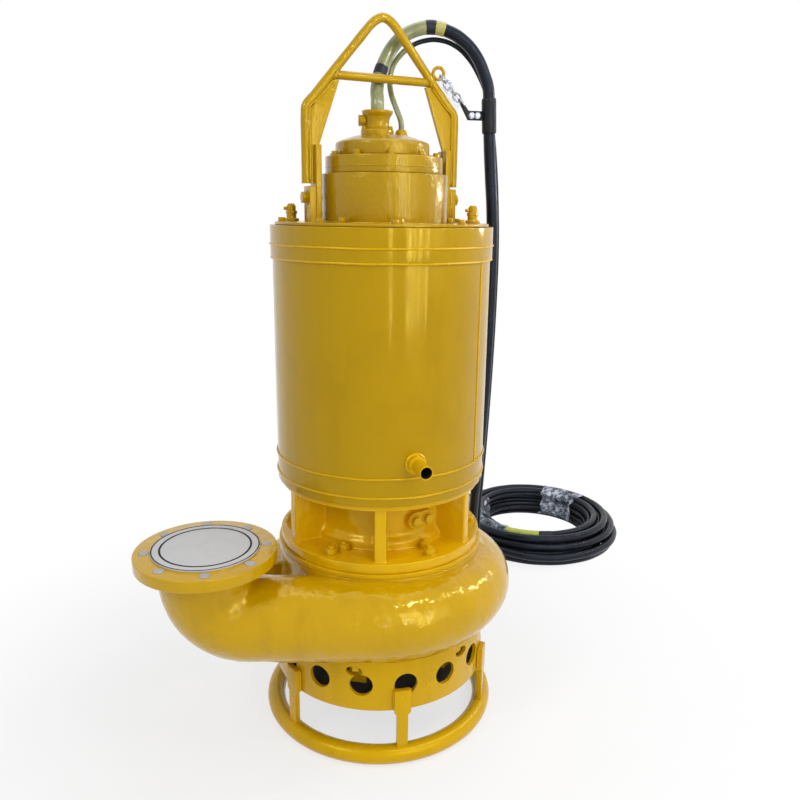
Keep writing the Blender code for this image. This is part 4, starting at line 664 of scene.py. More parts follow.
def make_paint(name, peel, lumps, streaks=0.0, gloss=0.20, depth=1.0, scale=74, coat=0.0):
    """Thick glossy ochre paint: orange peel, the metal's unevenness below it, thin dull film and a few dark specks."""
    paper = Paper(name)
    # depth scales all three colours: below 1 it paints shade on a part, above 1 it paints light
    bright, mid, deep = (tuple(c * depth for c in colour) for colour in (YELLOW_BRIGHT, YELLOW_MID, YELLOW_DEEP))
    tone = paper.ramp(paper.noise(5, 5, 0.6), [(0.30, mid), (0.52, bright), (0.75, bright)])
    film = paper.ramp(paper.noise(1, 6, 0.65, paper.stretched(16, 16, 2.2)), [(0.52, 0.0), (0.80, 0.40)])
    specks = paper.ramp(paper.noise(160, 2, 0.7), [(0.74, 0.0), (0.80, 0.8)])
    tone = paper.mix(specks, paper.mix(film, tone, deep), SPECK)
    rough = paper.ramp(paper.noise(14, 5, 0.7), [(0.30, gloss - 0.06), (0.72, gloss + 0.12)])
    paper.set(colour=tone, roughness=rough, coat=coat, coat_roughness=0.06, specular=0.80, tint=YELLOW_GLOSS)
    layers = [(paper.noise(9, 2), 0.004, lumps * 0.5), (paper.noise(scale, 2), 0.0034, lumps),
              (paper.noise(330, 2), 0.0006, peel)]
    if streaks:
        layers.append((paper.noise(1, 2, 0.5, paper.stretched(26, 26, 1.2)), 0.003, streaks))
    return paper.finished(*layers)


def make_metal(name, colour, low, high, grain=240, depth=0.25, metallic=1.0, stretch=None):
    """Bare metal between two roughnesses, its grain stretched along its turning marks or laminations."""
    paper = Paper(name)
    vector = paper.stretched(*stretch) if stretch else None
    dark = tuple(c * 0.62 for c in colour)
    paper.set(colour=paper.ramp(paper.noise(grain / 8, 5, 0.6, vector), [(0.32, dark), (0.66, colour)]),
              roughness=paper.ramp(paper.noise(grain / 4, 4, 0.6, vector), [(0.30, low), (0.72, high)]),
              metallic=metallic)
    return paper.finished((paper.noise(grain, 3, 0.6, vector), 0.0005, depth))


def make_rubber():
    paper = Paper("cable_sheath")
    dust = paper.ramp(paper.noise(60, 6, 0.7), [(0.55, 0.0), (0.80, 0.35)])
    tone = paper.ramp(paper.noise(18, 5, 0.65), [(0.3, (0.005, 0.005, 0.007)), (0.7, (0.013, 0.014, 0.018))])
    paper.set(colour=paper.mix(dust, tone, (0.022, 0.025, 0.033)), specular=0.34, tint=(0.48, 0.57, 0.76),
              roughness=paper.ramp(paper.noise(45, 4), [(0.3, 0.24), (0.7, 0.40)]))
    return paper.finished((paper.noise(120), 0.0005, 0.25), (paper.noise(700, 2), 0.0003, 0.2))


def make_plain(name, colour, low, high, grain=300, depth=0.2, clouds=0.18, coat=0.0, specular=0.5):
    """A plastic, tape or paint of one colour, with slight clouds, smears and grain."""
    paper = Paper(name)
    dark = tuple(c * (1 - clouds) for c in colour)
    paper.set(colour=paper.ramp(paper.noise(30, 5, 0.6), [(0.3, dark), (0.7, colour)]), coat=coat, specular=specular,
              roughness=paper.ramp(paper.noise(55, 4, 0.6), [(0.3, low), (0.7, high)]))
    return paper.finished((paper.noise(grain / 6), 0.0012, depth), (paper.noise(grain, 2), 0.0004, depth))


def make_film(name, low, high):
    """Clear crinkled wrap."""
    paper = Paper(name)
    crease = paper.noise(44, 4, 0.62)
    paper.set(colour=paper.ramp(crease, [(0.35, (0.36, 0.44, 0.60)), (0.62, (0.74, 0.82, 0.96))]),
              alpha=paper.ramp(crease, [(0.36, 0.06), (0.50, low), (0.64, high)]),
              roughness=0.14, specular=0.7, coat=0.3, coat_roughness=0.05)
    return paper.finished((crease, 0.004, 0.9), (paper.cells(90), 0.002, 0.5))


# Copies of the one ochre paint, each with its own gloss and bumps. Their depth paints shade on the top parts, sheet,
# lid and casting, and paints light on the bracket.
PAINT = make_paint("ochre_paint", 0.32, 0.20)
SHADED_TOP_PAINT = make_paint("ochre_paint_top_shaded", 0.36, 0.34, 0.0, 0.15, 0.70, 74, 0.15)
SHADED_SHEET_PAINT = make_paint("ochre_paint_sheet_shaded", 0.10, 0.05, 0.30, 0.12, 0.66, 74, 0.06)
SHADED_LID_PAINT = make_paint("ochre_paint_lid_shaded", 0.50, 0.40, 0.50, 0.13, 0.62, 90, 0.25)
SHADED_CAST_PAINT = make_paint("ochre_paint_cast_shaded", 0.16, 0.66, 0.0, 0.10, 0.88, 46, 0.22)
LIT_BRACKET_PAINT = make_paint("ochre_paint_bracket_lit", 0.20, 0.40, 0.0, 0.12, 1.12, 60, 0.10)
IRON = make_metal("bare_iron", (0.20, 0.20, 0.21), 0.45, 0.70, 200, 0.5, 0.8)
STEEL = make_metal("machined_steel", (0.58, 0.59, 0.60), 0.20, 0.38, 300, 0.15, 1.0, (1, 1, 8))
ZINC = make_metal("zinc_plate", (0.46, 0.49, 0.54), 0.22, 0.46, 400, 0.35)
LAMINATION = make_metal("stacked_laminations", (0.30, 0.31, 0.33), 0.35, 0.55, 200, 0.3, 0.9, (1, 1, 60))
COPPER = make_metal("wound_copper", (0.60, 0.24, 0.09), 0.30, 0.50, 260, 0.5, 0.9, (1, 1, 14))
CARBON = make_plain("carbon_seal", (0.018, 0.018, 0.020), 0.45, 0.6, specular=0.2)
BLACK_PAINT = make_plain("black_clamp_paint", (0.009, 0.010, 0.013), 0.28, 0.45, 260, 0.3, specular=0.2)
RUBBER = make_rubber()
TAPE = make_plain("black_tape", (0.012, 0.013, 0.022), 0.34, 0.5, 500, 0.25, specular=0.3)
SLEEVE = make_plain("olive_sleeve", (0.290, 0.305, 0.110), 0.14, 0.32, 240, 0.4, 0.40, 0.5)
LIME_TAPE = make_plain("lime_tape", (0.500, 0.560, 0.060), 0.25, 0.4, 400, 0.25)
OLIVE_TAPE = make_plain("olive_tape", (0.470, 0.440, 0.110), 0.22, 0.4, 400, 0.25, 0.25)
COVER_WHITE = make_plain("cover_board", (0.570, 0.570, 0.575), 0.34, 0.48, 500, 0.12, 0.07)
PLUG_GREY = make_plain("plug_plastic", (0.430, 0.420, 0.420), 0.40, 0.55, 400, 0.25, 0.12)
RING_BLACK = make_plain("ring_ink", (0.008, 0.009, 0.012), 0.45, 0.6, specular=0.15)
FILM = make_film("clear_film", 0.30, 0.86)
THIN_FILM = make_film("thin_clear_film", 0.10, 0.42)

# The looks of each slot. CAD nodes that stay in view get the first.
SLOTS = {"yellow_paint": (PAINT, SHADED_TOP_PAINT, SHADED_SHEET_PAINT, SHADED_LID_PAINT, SHADED_CAST_PAINT, LIT_BRACKET_PAINT), "hard_iron": (IRON,),
         "bright_steel": (STEEL, ZINC), "stator_steel": (LAMINATION,), "winding_copper": (COPPER,),
         "cover_plastic": (COVER_WHITE, PLUG_GREY, FILM, THIN_FILM), "seal_carbon": (CARBON,),
         "dark_steel": (BLACK_PAINT,), "cable_rubber": (RUBBER, TAPE, SLEEVE, LIME_TAPE, OLIVE_TAPE, RING_BLACK)}


def dress_frame():
    for row in frame["record"]["subparts"]:
        for holder in NODES[row["node"]].material_slots:
            holder.material = SLOTS[row["material_slot"]][0]


def piece(name, mesh, look, cad_node=None):
    """Names a mesh, gives it its look and lets it stand for a CAD node or add to the pump."""
    mesh.name = name
    mesh.materials.clear()
    mesh.materials.append(look)
    obj = added(name, mesh)
    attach(obj, "pump")
    if cad_node:
        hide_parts(cad_node)
    return obj


# Cords

def coil_place(turn, reach, height):
    """A point of the coil, a little out of round as coils tied by hand are."""
    pull = 1 + 0.010 * cos(2 * turn + 0.7) + 0.006 * cos(3 * turn)
    return COIL_CENTRE + Vector((reach * pull * cos(turn), reach * pull * sin(turn), height))


def coil_route(foot, inset):
    """Layers that wind inwards and outwards by turns, from the floor up, clockwise from the coil's left side."""
    points = []
    turn, reach, height = pi, COIL_OUTER, foot
    step = 1 / COIL_STEPS
    climb = round(COIL_CLIMB * COIL_STEPS)
    for layer, turns in enumerate(COIL_TURNS):
        way = -1 if layer % 2 == 0 else 1
        for _ in range(round(turns * COIL_STEPS)):
            points.append(coil_place(turn, reach - inset, height))
            turn -= tau * step
            reach += way * COIL_PITCH * step
        if layer == len(COIL_TURNS) - 1:
            break
        for i in range(climb):
            share = i / climb
            ease = share * share * (3 - 2 * share)
            points.append(coil_place(turn, reach - inset, height + COIL_RISE * ease))
            turn -= tau * step
        height += COIL_RISE
    return points + [coil_place(turn, reach - inset, height)]


def make_cord(name, points, diameter, replaces):
    """A cord as one open curve through its points."""
    curve = bpy.data.curves.new(name, "CURVE")
    curve.dimensions = "3D"
    curve.bevel_depth = diameter / 2
    curve.bevel_resolution = 5
    curve.resolution_u = 6
    curve.use_fill_caps = True
    spline = curve.splines.new("BEZIER")
    spline.bezier_points.add(len(points) - 1)
    for knot, place in zip(spline.bezier_points, points):
        knot.co = Vector(place) + AXIS
        knot.handle_left_type = knot.handle_right_type = "AUTO"
    curve.materials.append(RUBBER)
    obj = added(name, curve)
    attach(obj, "pump")
    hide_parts(*replaces)
    return obj


def wrap(name, line, start, end, radius, look, sides=28):
    """A sleeve or tape round a cord between two shares of an evenly spaced line, rounded in at both ends."""
    count = len(line) - 1
    part = line[round(start * count):round(end * count) + 1]
    return piece(name, sweep(part, lambda share: radius * (0.985 if min(share, 1 - share) < 0.001 else 1), sides), look)


def make_cords():
    power = make_cord("power_cable_run", POWER_ROUTE + coil_route(COIL_FOOT, 0.0)[1:], CABLE_D,
                      ("power_cable", "cable_coil"))
    control = make_cord("control_cable_run", CONTROL_ROUTE + coil_route(CONTROL_FOOT, CONTROL_INSET)[1:], CONTROL_D,
                        ("control_cable",))
    line = curve_through(POWER_SLEEVED, 0.004)
    sleeves = [wrap(f"power_sleeve{tag}", line, start, end, CABLE_D / 2 + build, look)
               for tag, start, end, build, look in (("", 0.0, 0.554, 0.0011, SLEEVE),
                                                    ("_lower_tape", 0.176, 0.220, 0.0017, TAPE),
                                                    ("_upper_tape", 0.514, 0.564, 0.0017, TAPE),
                                                    ("_end_band", 0.568, 0.606, 0.0012, OLIVE_TAPE))]
    line = curve_through(CONTROL_SLEEVED, 0.004)
    control_sleeve = wrap("control_sleeve", line, 0.0, 0.50, CONTROL_D / 2 + 0.0008, SLEEVE, 20)


# Foot ring, legs and strainer

def make_base():
    ring = [around(angle, RING_RADIUS, RING_BAR / 2) for angle in spread(ROUND)]
    piece("foot_ring_bar", sweep(ring, RING_BAR / 2, 28, True), PAINT, "foot_ring")
    half, pad = LEG_WIDTH / 2, LEG_PAD / 2
    top = LEG_PAD_Z + LEG_PAD_HEIGHT
    foot = RING_BAR - LEG_SINK
    right = [(half, foot), (half, LEG_PAD_Z - 0.004), (pad, LEG_PAD_Z + 0.002), (pad, top - 0.002), (pad - 0.002, top)]
    outline = [(-half, foot), *right, *((-x, z) for x, z in right[:0:-1])]
    for i, angle in enumerate(spread(LEG_COUNT, LEG_FIRST)):
        place = around(angle, STRAINER_RADIUS + GAP + LEG_THICKNESS / 2)
        parts = [slab(outline, LEG_THICKNESS, place, (pi / 2, 0, angle), 0.0012)]
        for way in (-1, 1):
            start = around(angle, STRAINER_RADIUS + 0.002, LEG_PAD_Z + 0.006) + aside(angle) * pad * way
            parts.append(weld([start + UP * 0.046 * k / 14 for k in range(15)], 0.0022, i * 2 + way))
        for way in (-1, 1):
            bead = [around(angle, RING_RADIUS + 0.010 * cos(t), RING_BAR - 0.0045) + aside(angle) * (half * way)
                    for t in (0.0, 0.8, 1.6, 2.4, 3.1)]
            parts.append(weld(bead, 0.0026, i + 30 + way))
        piece(f"strainer_leg_bar_{i + 1}", merged(parts), PAINT, f"strainer_leg_{i + 1}")


def make_strainer():
    under = STRAINER_TOP_Z - STRAINER_FLANGE
    outline = [(STRAINER_RADIUS, STRAINER_TOP_Z), (STRAINER_RADIUS, STRAINER_FOOT_Z), (STRAINER_INNER, STRAINER_FOOT_Z),
               (STRAINER_INNER, under), (STRAINER_FLANGE_INNER, under), (STRAINER_FLANGE_INNER, STRAINER_TOP_Z)]
    holes = [cylinder(HOLE_D / 2, -0.02, 0.02, around(angle, STRAINER_INNER, HOLE_Z), 40, around(angle, 1))
             for angle in spread(HOLE_COUNT, HOLE_FIRST)]
    oval = [(NOTCH_HALF_WIDTH * cos(turn), NOTCH_HALF_HEIGHT * sin(turn)) for turn in spread(32)]
    notches, lugs, bolts = [], [], []
    for angle in spread(NOTCH_COUNT, NOTCH_FIRST):
        place = around(angle, (STRAINER_RADIUS + STRAINER_INNER) / 2, under - NOTCH_HALF_HEIGHT)
        notches.append(slab(oval, 0.012, place, (pi / 2, 0, angle), 0))
        lugs.append(block(LUG, around(angle, LUG_REACH, under - LUG[2] / 2), angle))
        bolts.append(bolt(around(angle, STRAINER_BOLT_REACH, under - GAP), -UP, 0.024, 0.0125))
    basket = smooth(carved(lathe(outline, sides=ROUND * 2, edge=0.0012), merged(holes), merged(notches)), 35)
    piece("strainer_band", merged([basket, *lugs]), PAINT, "strainer_basket")
    # A dark iron ring inside the strainer's foot that stands for the shade behind the holes: painted shade.
    bottom = hoop(STRAINER_INNER - 0.0006, LIP_RADIUS, STRAINER_FOOT_Z + 0.001, STRAINER_FOOT_Z + 0.004, edge=0.0006)
    piece("strainer_shade_ring", bottom, IRON)
    piece("strainer_bolts", merged(bolts), PAINT)


# Casing

def circle(centre, across, up, radius, sides):
    return [centre + (across * cos(turn) + up * sin(turn)) * radius for turn in spread(sides)]


def spiral_section(share, wall, sides):
    angle = SPIRAL_SWEEP * (1 - share)
    reach = TONGUE_PATH + (THROAT_PATH - TONGUE_PATH) * share
    bore = (TONGUE_BORE + (THROAT_BORE - TONGUE_BORE) * share ** SPIRAL_GROWTH) / 2
    return circle(around(angle, reach, PASSAGE_Z), around(angle, 1), UP, bore + wall, sides)


def passage(wall, sides, lift):
    """Sections of the water passage, or of the metal round it: spiral, throat, elbow and neck."""
    rows = [spiral_section(i / SPIRAL_STEPS, wall, sides) for i in range(SPIRAL_STEPS + 1)]
    front = Vector((0, -1, 0))
    bore = THROAT_BORE / 2
    bend_x = OUTLET.x + ELBOW_RADIUS
    for share in (0.2, 0.4, 0.6, 0.8):
        rows.append(circle(Vector((bend_x * share, -THROAT_PATH, PASSAGE_Z)), front, UP, bore + wall, sides))
    bend = Vector((bend_x, -THROAT_PATH, PASSAGE_Z + ELBOW_RADIUS))
    for i in range(ELBOW_STEPS + 1):
        share = i / ELBOW_STEPS
        turn = pi / 2 * share
        out = Vector((-sin(turn), 0, -cos(turn)))
        grown = wall + (NECK_WALL - CASING_WALL) * share * (wall > 0)
        centre = bend + out * (ELBOW_RADIUS + ELBOW_SWELL * sin(2 * turn) * bore)
        rows.append(circle(centre, front, -out, bore + grown, sides))
    neck = NECK_WALL if wall else 0
    rows.append(circle(OUTLET + UP * lift, front, Vector((1, 0, 0)), bore + neck, sides))
    return rows


def make_casing():
    under = FLANGE_TOP_Z - FLANGE
    solids = [
        loft(passage(CASING_WALL, 48, FLANGE_TOP_Z - 0.010)),
        cylinder(DRUM_RADIUS, SEAT_Z + 0.004, CASING_TOP_Z - 0.003, sides=ROUND),
        cylinder(SEAT_RADIUS - 0.002, SEAT_Z + 0.002, SEAT_Z + 0.011, sides=ROUND),
        cylinder(FLANGE_RADIUS - 0.004, under + 0.0025, FLANGE_TOP_Z - 0.008, OUTLET, ROUND),
    ]
    for turn in map(radians, CASING_LUGS):
        solids.append(block(CASING_LUG, around(turn, DRUM_RADIUS, CASING_TOP_Z - RIM - 0.004), turn, 0.003))
    hollows = [
        loft(passage(0, 40, FLANGE_TOP_Z + OVERRUN)),
        cylinder(CHAMBER_RADIUS, PASSAGE_Z - CHAMBER_HEIGHT / 2, PASSAGE_Z + CHAMBER_HEIGHT / 2),
        cylinder(SLOT_RADIUS, PASSAGE_Z - SLOT_HEIGHT / 2, PASSAGE_Z + SLOT_HEIGHT / 2),
        cylinder(TOP_OPENING, PASSAGE_Z, CASING_TOP_Z + OVERRUN),
        cylinder(SUCTION_OPENING, SEAT_Z - OVERRUN, PASSAGE_Z),
    ]
    grain, passes = ((0.0034, 12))
    body = smooth(carved(cast(solids, grain, passes, 0.0011), cast(hollows, grain, 1)), 60)
    rim = hoop(RIM_RADIUS, TOP_OPENING + 0.002, CASING_TOP_Z - RIM, CASING_TOP_Z)
    seat = hoop(SEAT_RADIUS, SUCTION_OPENING + 0.002, SEAT_Z, SEAT_Z + SEAT)
    ledge = FLANGE_TOP_Z - RAISED_FACE
    flange = lathe([(FLANGE_RADIUS, ledge), (FLANGE_RADIUS, under), (THROAT_BORE / 2, under),
                    (THROAT_BORE / 2, FLANGE_TOP_Z), (RAISED_FACE_RADIUS, FLANGE_TOP_Z), (RAISED_FACE_RADIUS, ledge)],
                   OUTLET, edge=0.0022)
    places = [OUTLET + around(angle, FLANGE_BOLT_RADIUS) for angle in spread(FLANGE_HOLES, FLANGE_HOLE_FIRST)]
    drills = [cylinder(FLANGE_HOLE_RADIUS, under - 0.004, FLANGE_TOP_Z + 0.004, place, 24) for place in places]
    flange = smooth(carved(flange, merged(drills)), 35)
    piece("casing_shell", merged([body, rim, seat, flange]), SHADED_CAST_PAINT, "volute_casing")
    make_outlet_cover(places)


def make_outlet_cover(hole_places):
    """The disc with its two rings, and a plug in each of the flange's holes."""
    foot = FLANGE_TOP_Z + GAP
    top = foot + COVER
    piece("outlet_cover_disc", cylinder(COVER_RADIUS, foot, top, OUTLET, ROUND, None, 0.0006), COVER_WHITE,
          "outlet_cover")
    for name, reach, width in COVER_RINGS:
        ring = hoop(reach + width / 2, reach - width / 2, top - 0.0004, top + 0.0003, OUTLET, 0)
        piece(f"cover_{name}_ring", ring, RING_BLACK)
    head = FLANGE_TOP_Z - RAISED_FACE + 0.0012
    plugs = [cylinder(FLANGE_HOLE_RADIUS - 0.0004, FLANGE_TOP_Z - 0.020, head, place, PIPE, None, 0.0009)
             for place in hole_places]
    piece("flange_hole_plugs", merged(plugs), PLUG_GREY)


def make_back_plate():
    seat = CASING_TOP_Z + GAP
    top = seat + 0.010
    outline = [(0.0665, 0.4435), (0.0665, top), (RIM_RADIUS, top), (RIM_RADIUS, seat), (0.1897, seat), (0.1897, 0.383),
               (0.033, 0.383), (0.033, 0.4232), (0.0505, 0.4232), (0.0505, 0.4435)]
    piece("back_plate_disc", lathe(outline), PAINT, "back_plate")


# Bracket

def oil_plate(thickness, reach, edge):
    """A long plate with half-round ends on the bracket's side."""
    points = []
    for end in (1, -1):
        for i in range(17):
            turn = -pi / 2 + pi * i / 16
            points.append((end * (OIL_HALF_LENGTH + OIL_HALF_HEIGHT * cos(turn)), end * OIL_HALF_HEIGHT * sin(turn)))
    return slab(points, thickness, around(OIL_ANGLE, BRACKET_RADIUS + reach, OIL_Z), (pi / 2, 0, OIL_ANGLE), edge)


def make_bracket():
    foot, top = BRACKET_FOOT_Z, BRACKET_TOP_Z
    deck = foot + BRACKET_FLANGE
    under = top - BRACKET_HEAD
    barrel = [(BRACKET_RADIUS, top - 0.002), (BRACKET_RADIUS, deck + 0.028), (0.158, deck + 0.014),
              (0.160, foot + 0.002), (BRACKET_BORE, foot + 0.002), (BRACKET_BORE, 0.495), (0.055, 0.503),
              (0.055, 0.5145), (0.0705, 0.5145), (0.0705, top - 0.002)]
    solids = [lathe(barrel, edge=0.003), hoop(0.223, BRACKET_BORE, foot + 0.003, deck - 0.002, edge=0),
              hoop(0.219, 0.072, under + 0.002, top - 0.002, edge=0)]
    length = RIB_RADIUS - BRACKET_RADIUS + 0.012
    for angle in spread(RIB_COUNT, RIB_FIRST):
        place = around(angle, RIB_RADIUS - length / 2, (under + deck) / 2)
        solids.append(block((RIB, length, under - deck + 0.008), place, angle, 0.0))
    solids.append(oil_plate(0.020, -0.004, 0))
    grain, passes = ((0.0026, 6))
    body = smooth(cast(solids, grain, passes, 0.0008), 60)
    lower = hoop(BRACKET_FLANGE_RADIUS, BRACKET_BORE + 0.002, foot, deck)
    upper = hoop(BRACKET_HEAD_RADIUS, 0.075, under, top)
    piece("bracket_casting", merged([body, lower, upper]), LIT_BRACKET_PAINT, "bracket_housing")
    nuts = [bolt(around(angle + tilt, reach, deck - GAP), UP, 0.021, 0.0125, True, 0.006)
            for angle in spread(RIB_COUNT, NUT_FIRST) for reach, tilt in NUT_ROWS]
    piece("bracket_flange_nuts", merged(nuts), PAINT)
    piece("oil_cover_pad", oil_plate(0.010, 0.0093, 0.0016), PAINT, "oil_cover_plate")
    for tag, way in (("left", -1), ("right", 1)):
        place = around(OIL_ANGLE, BRACKET_RADIUS + 0.0146, OIL_Z) + aside(OIL_ANGLE) * OIL_PLUG_REACH * way
        piece(f"oil_plug_hex_{tag}", bolt(place, around(OIL_ANGLE, 1), 0.019, 0.0075), PAINT, f"oil_plug_{tag}")


# Motor

def sheet_sway(turn, z):
    """Rolled sheet isn't quite round."""
    return ripple(0.0005, cos(turn) * 3, sin(turn) * 3, z * 3)


def make_jacket():
    deck = JACKET_FOOT_Z + JACKET_BOTTOM
    outline = [(JACKET_RADIUS, JACKET_TOP_Z + (JACKET_FOOT_Z - JACKET_TOP_Z) * k / 24) for k in range(25)]
    outline += [(JACKET_BORE, JACKET_FOOT_Z), (JACKET_BORE, deck), (JACKET_INNER, deck), (JACKET_INNER, JACKET_TOP_Z)]
    piece("jacket_shell", lathe(outline, edge=0.0012, sides=ROUND * 2, sway=sheet_sway), SHADED_SHEET_PAINT, "cooling_jacket")
    band = hoop(BAND_RADIUS, JACKET_RADIUS + GAP, BAND_FOOT_Z, JACKET_TOP_Z, edge=0.0012, sides=ROUND * 2,
                sway=sheet_sway)
    piece("jacket_band", band, SHADED_SHEET_PAINT, "upper_jacket_band")

    beads = [ring_weld(JACKET_RADIUS + 0.0008, 0.637, 0.0022, 1), ring_weld(JACKET_RADIUS + 0.0004, 0.597, 0.0024, 2),
             ring_weld(JACKET_RADIUS + 0.0022, BAND_FOOT_Z - 0.001, 0.0024, 3),
             ring_weld(BAND_RADIUS + 0.0002, BAND_WELD_Z, 0.0020, 4)]
    beads.append(weld([around(SEAM_ANGLE, JACKET_RADIUS + GAP, SEAM_FOOT_Z + SEAM * k / 40) for k in range(41)],
                      0.0020, 9))
    out, side = around(NIPPLE_ANGLE, 1), aside(NIPPLE_ANGLE)
    collar = []
    for t in spread(60):
        swing = NIPPLE_WELD * cos(t)
        bow = JACKET_RADIUS + 0.002 - swing ** 2 / (2 * JACKET_RADIUS)
        collar.append(out * bow + side * swing + UP * (NIPPLE_Z + NIPPLE_WELD * sin(t)))
    beads.append(weld(collar, 0.0034, 11, True))
    piece("jacket_welds", merged(beads), PAINT)

    place = around(NIPPLE_ANGLE, JACKET_INNER, NIPPLE_Z)
    nipple = [(0.014, 0.068), (0.014, 0.022), (0.018, 0.020), (0.018, 0.008), (0.014, 0.008), (0.014, 0), (0.0118, 0),
              (0.0118, 0.068)]
    piece("drain_pipe", lathe(nipple, place, 32, 0.0007, out), PAINT, "drain_nipple")
    # A dark cup lining the nipple's bore, closed at the jacket end: painted shade inside the pipe.
    bore = [(0, 0.014), (0.0113, 0.014), (0.0113, 0.0665), (0.0117, 0.0665), (0.0117, 0.012), (0, 0.012)]
    piece("drain_pipe_shade_lining", lathe(bore, place, 32, 0, out), CARBON)


def make_top_cover():
    plate = [(0, COVER_TOP_Z), (0.224, COVER_TOP_Z), (0.224, 1.1223), (0.085, 1.1223), (0.085, 1.062), (0.060, 1.062),
             (0.060, 1.092), (0.044, 1.092), (0.044, 1.108), (0, 1.108)]
    parts = [lathe(plate, edge=0.0014)]
    reach = STRAP_INNER + STRAP + GAP + EAR / 2
    for way in (-1, 1):
        place = bail_point(way * reach, COVER_TOP_Z + 0.033)
        parts.append(block((EAR, STRAP_WIDTH, 0.074), place, BAIL_TURN, 0.0016))
    parts.append(ring_weld(0.1325, COVER_TOP_Z, 0.0022, 6))
    piece("top_cover_plate", merged(parts), SHADED_TOP_PAINT, "motor_top_cover")
    screws = []
    for count, first, step, skipped, reach, height in ((8, 15, 45, (1, 5), 0.150, 0.008),
                                                       (9, 8, 40, (2, 6), 0.2115, 0.007)):
        screws += [bolt(around(radians(first + step * i), reach, COVER_TOP_Z), UP, 0.013, height)
                   for i in range(count) if i not in skipped]
    piece("top_cover_screws", merged(screws), SHADED_TOP_PAINT)
    outline = [(0, 0.036), (0.006, 0.036), (0.0095, 0.031), (0.0095, 0.016), (0.0105, 0.014), (0.0105, 0.006),
               (0.016, 0.006), (0.016, 0), (0, 0)]
    for tag, angle in (("left", -88), ("right", 88)):
        place = around(radians(angle), VENT_REACH, COVER_TOP_Z + GAP)
        parts = [lathe(outline, place, 32, 0.001), slab(hexagon(0.021), 0.007, place + UP * 0.018, edge=0.0012),
                 cylinder(0.0035, 0, 0.016, place + UP * 0.026, 16, (-1, -0.3, 0), 0.0006)]
        piece(f"{tag}_vent_plug", merged(parts), SHADED_TOP_PAINT, f"{tag}_cover_plug")


def make_terminal_box():
    foot, deck = COVER_TOP_Z + GAP, COVER_TOP_Z + GAP + 0.008
    outline = [(0.1315, DRUM_TOP_Z), (0.1315, foot), (0.096, foot), (0.096, deck), (0.1215, deck), (0.1215, DRUM_TOP_Z)]
    piece("terminal_drum", lathe(outline, DRUM_PLACE, edge=0.002), SHADED_LID_PAINT, "terminal_chamber")
    lid = [hoop(0.1215, 0.080, LID_FOOT_Z, LID_TOP_Z, LID_PLACE, 0.0022),
           hoop(0.1222, 0.118, LID_FOOT_Z + 0.0115, LID_FOOT_Z + 0.0145, LID_PLACE, 0.001)]
    piece("terminal_lid", merged(lid), SHADED_LID_PAINT, "chamber_lid")
    screws = [bolt(LID_PLACE + around(radians(-28 + 36 * i), 0.1085, LID_TOP_Z - 0.0002), UP, 0.012, 0.0075)
              for i in range(10)]
    piece("lid_screws", merged(screws), SHADED_TOP_PAINT)
    foot = LID_TOP_Z + GAP
    skirt = foot + 0.027
    outline = [(0, skirt + 0.0135), (0.060, skirt + 0.0135), (0.088, skirt + 0.004), (0.097, skirt), (0.097, foot),
               (0, foot)]
    piece("terminal_dome", lathe(outline, edge=0.004), SHADED_LID_PAINT, "terminal_cap")


def make_glands():
    foot, top = GLAND_FOOT_Z, GLAND_TOP_Z - GAP
    bore = CABLE_D / 2 + 0.0014
    outline = [(0.032, top), (0.0315, top - 0.005), (0.0265, top - 0.013), (0.0245, top - 0.020), (0.0245, top - 0.031),
               (0.030, foot + 0.014), (0.034, foot + 0.012), (0.034, foot), (bore, foot), (bore, top - 0.004),
               (0.0225, top - 0.002)]
    lug_z = top - 0.019
    parts = [lathe(outline, GLAND_PLACE, 48, 0.0014),
             block((0.022, 0.016, 0.021), GLAND_PLACE + Vector((-0.0275, 0, lug_z)), 0, 0.0015),
             bolt(GLAND_PLACE + Vector((-0.029, -0.008, lug_z)), (0, -1, 0), 0.012, 0.006)]
    parts += [bolt(GLAND_PLACE + Vector((x, y, foot + 0.0118)), UP, 0.009, 0.006)
              for x in (-0.0265, 0.0265) for y in (-0.012, 0.012)]
    piece("gland_body", merged(parts), SHADED_TOP_PAINT, "cable_gland")
    top = foot + 0.016
    outline = [(0.0092, top), (0.0125, foot + 0.0105), (0.0125, foot), (0.0056, foot), (0.0056, top)]
    parts = [lathe(outline, SMALL_GLAND_PLACE, 32, 0.0008),
             slab(hexagon(0.0262), 0.006, SMALL_GLAND_PLACE + UP * (foot + 0.0035), (0, 0, 0.3), 0.0008)]
    piece("small_gland_body", merged(parts), SHADED_TOP_PAINT, "control_gland")


# Lifting bail

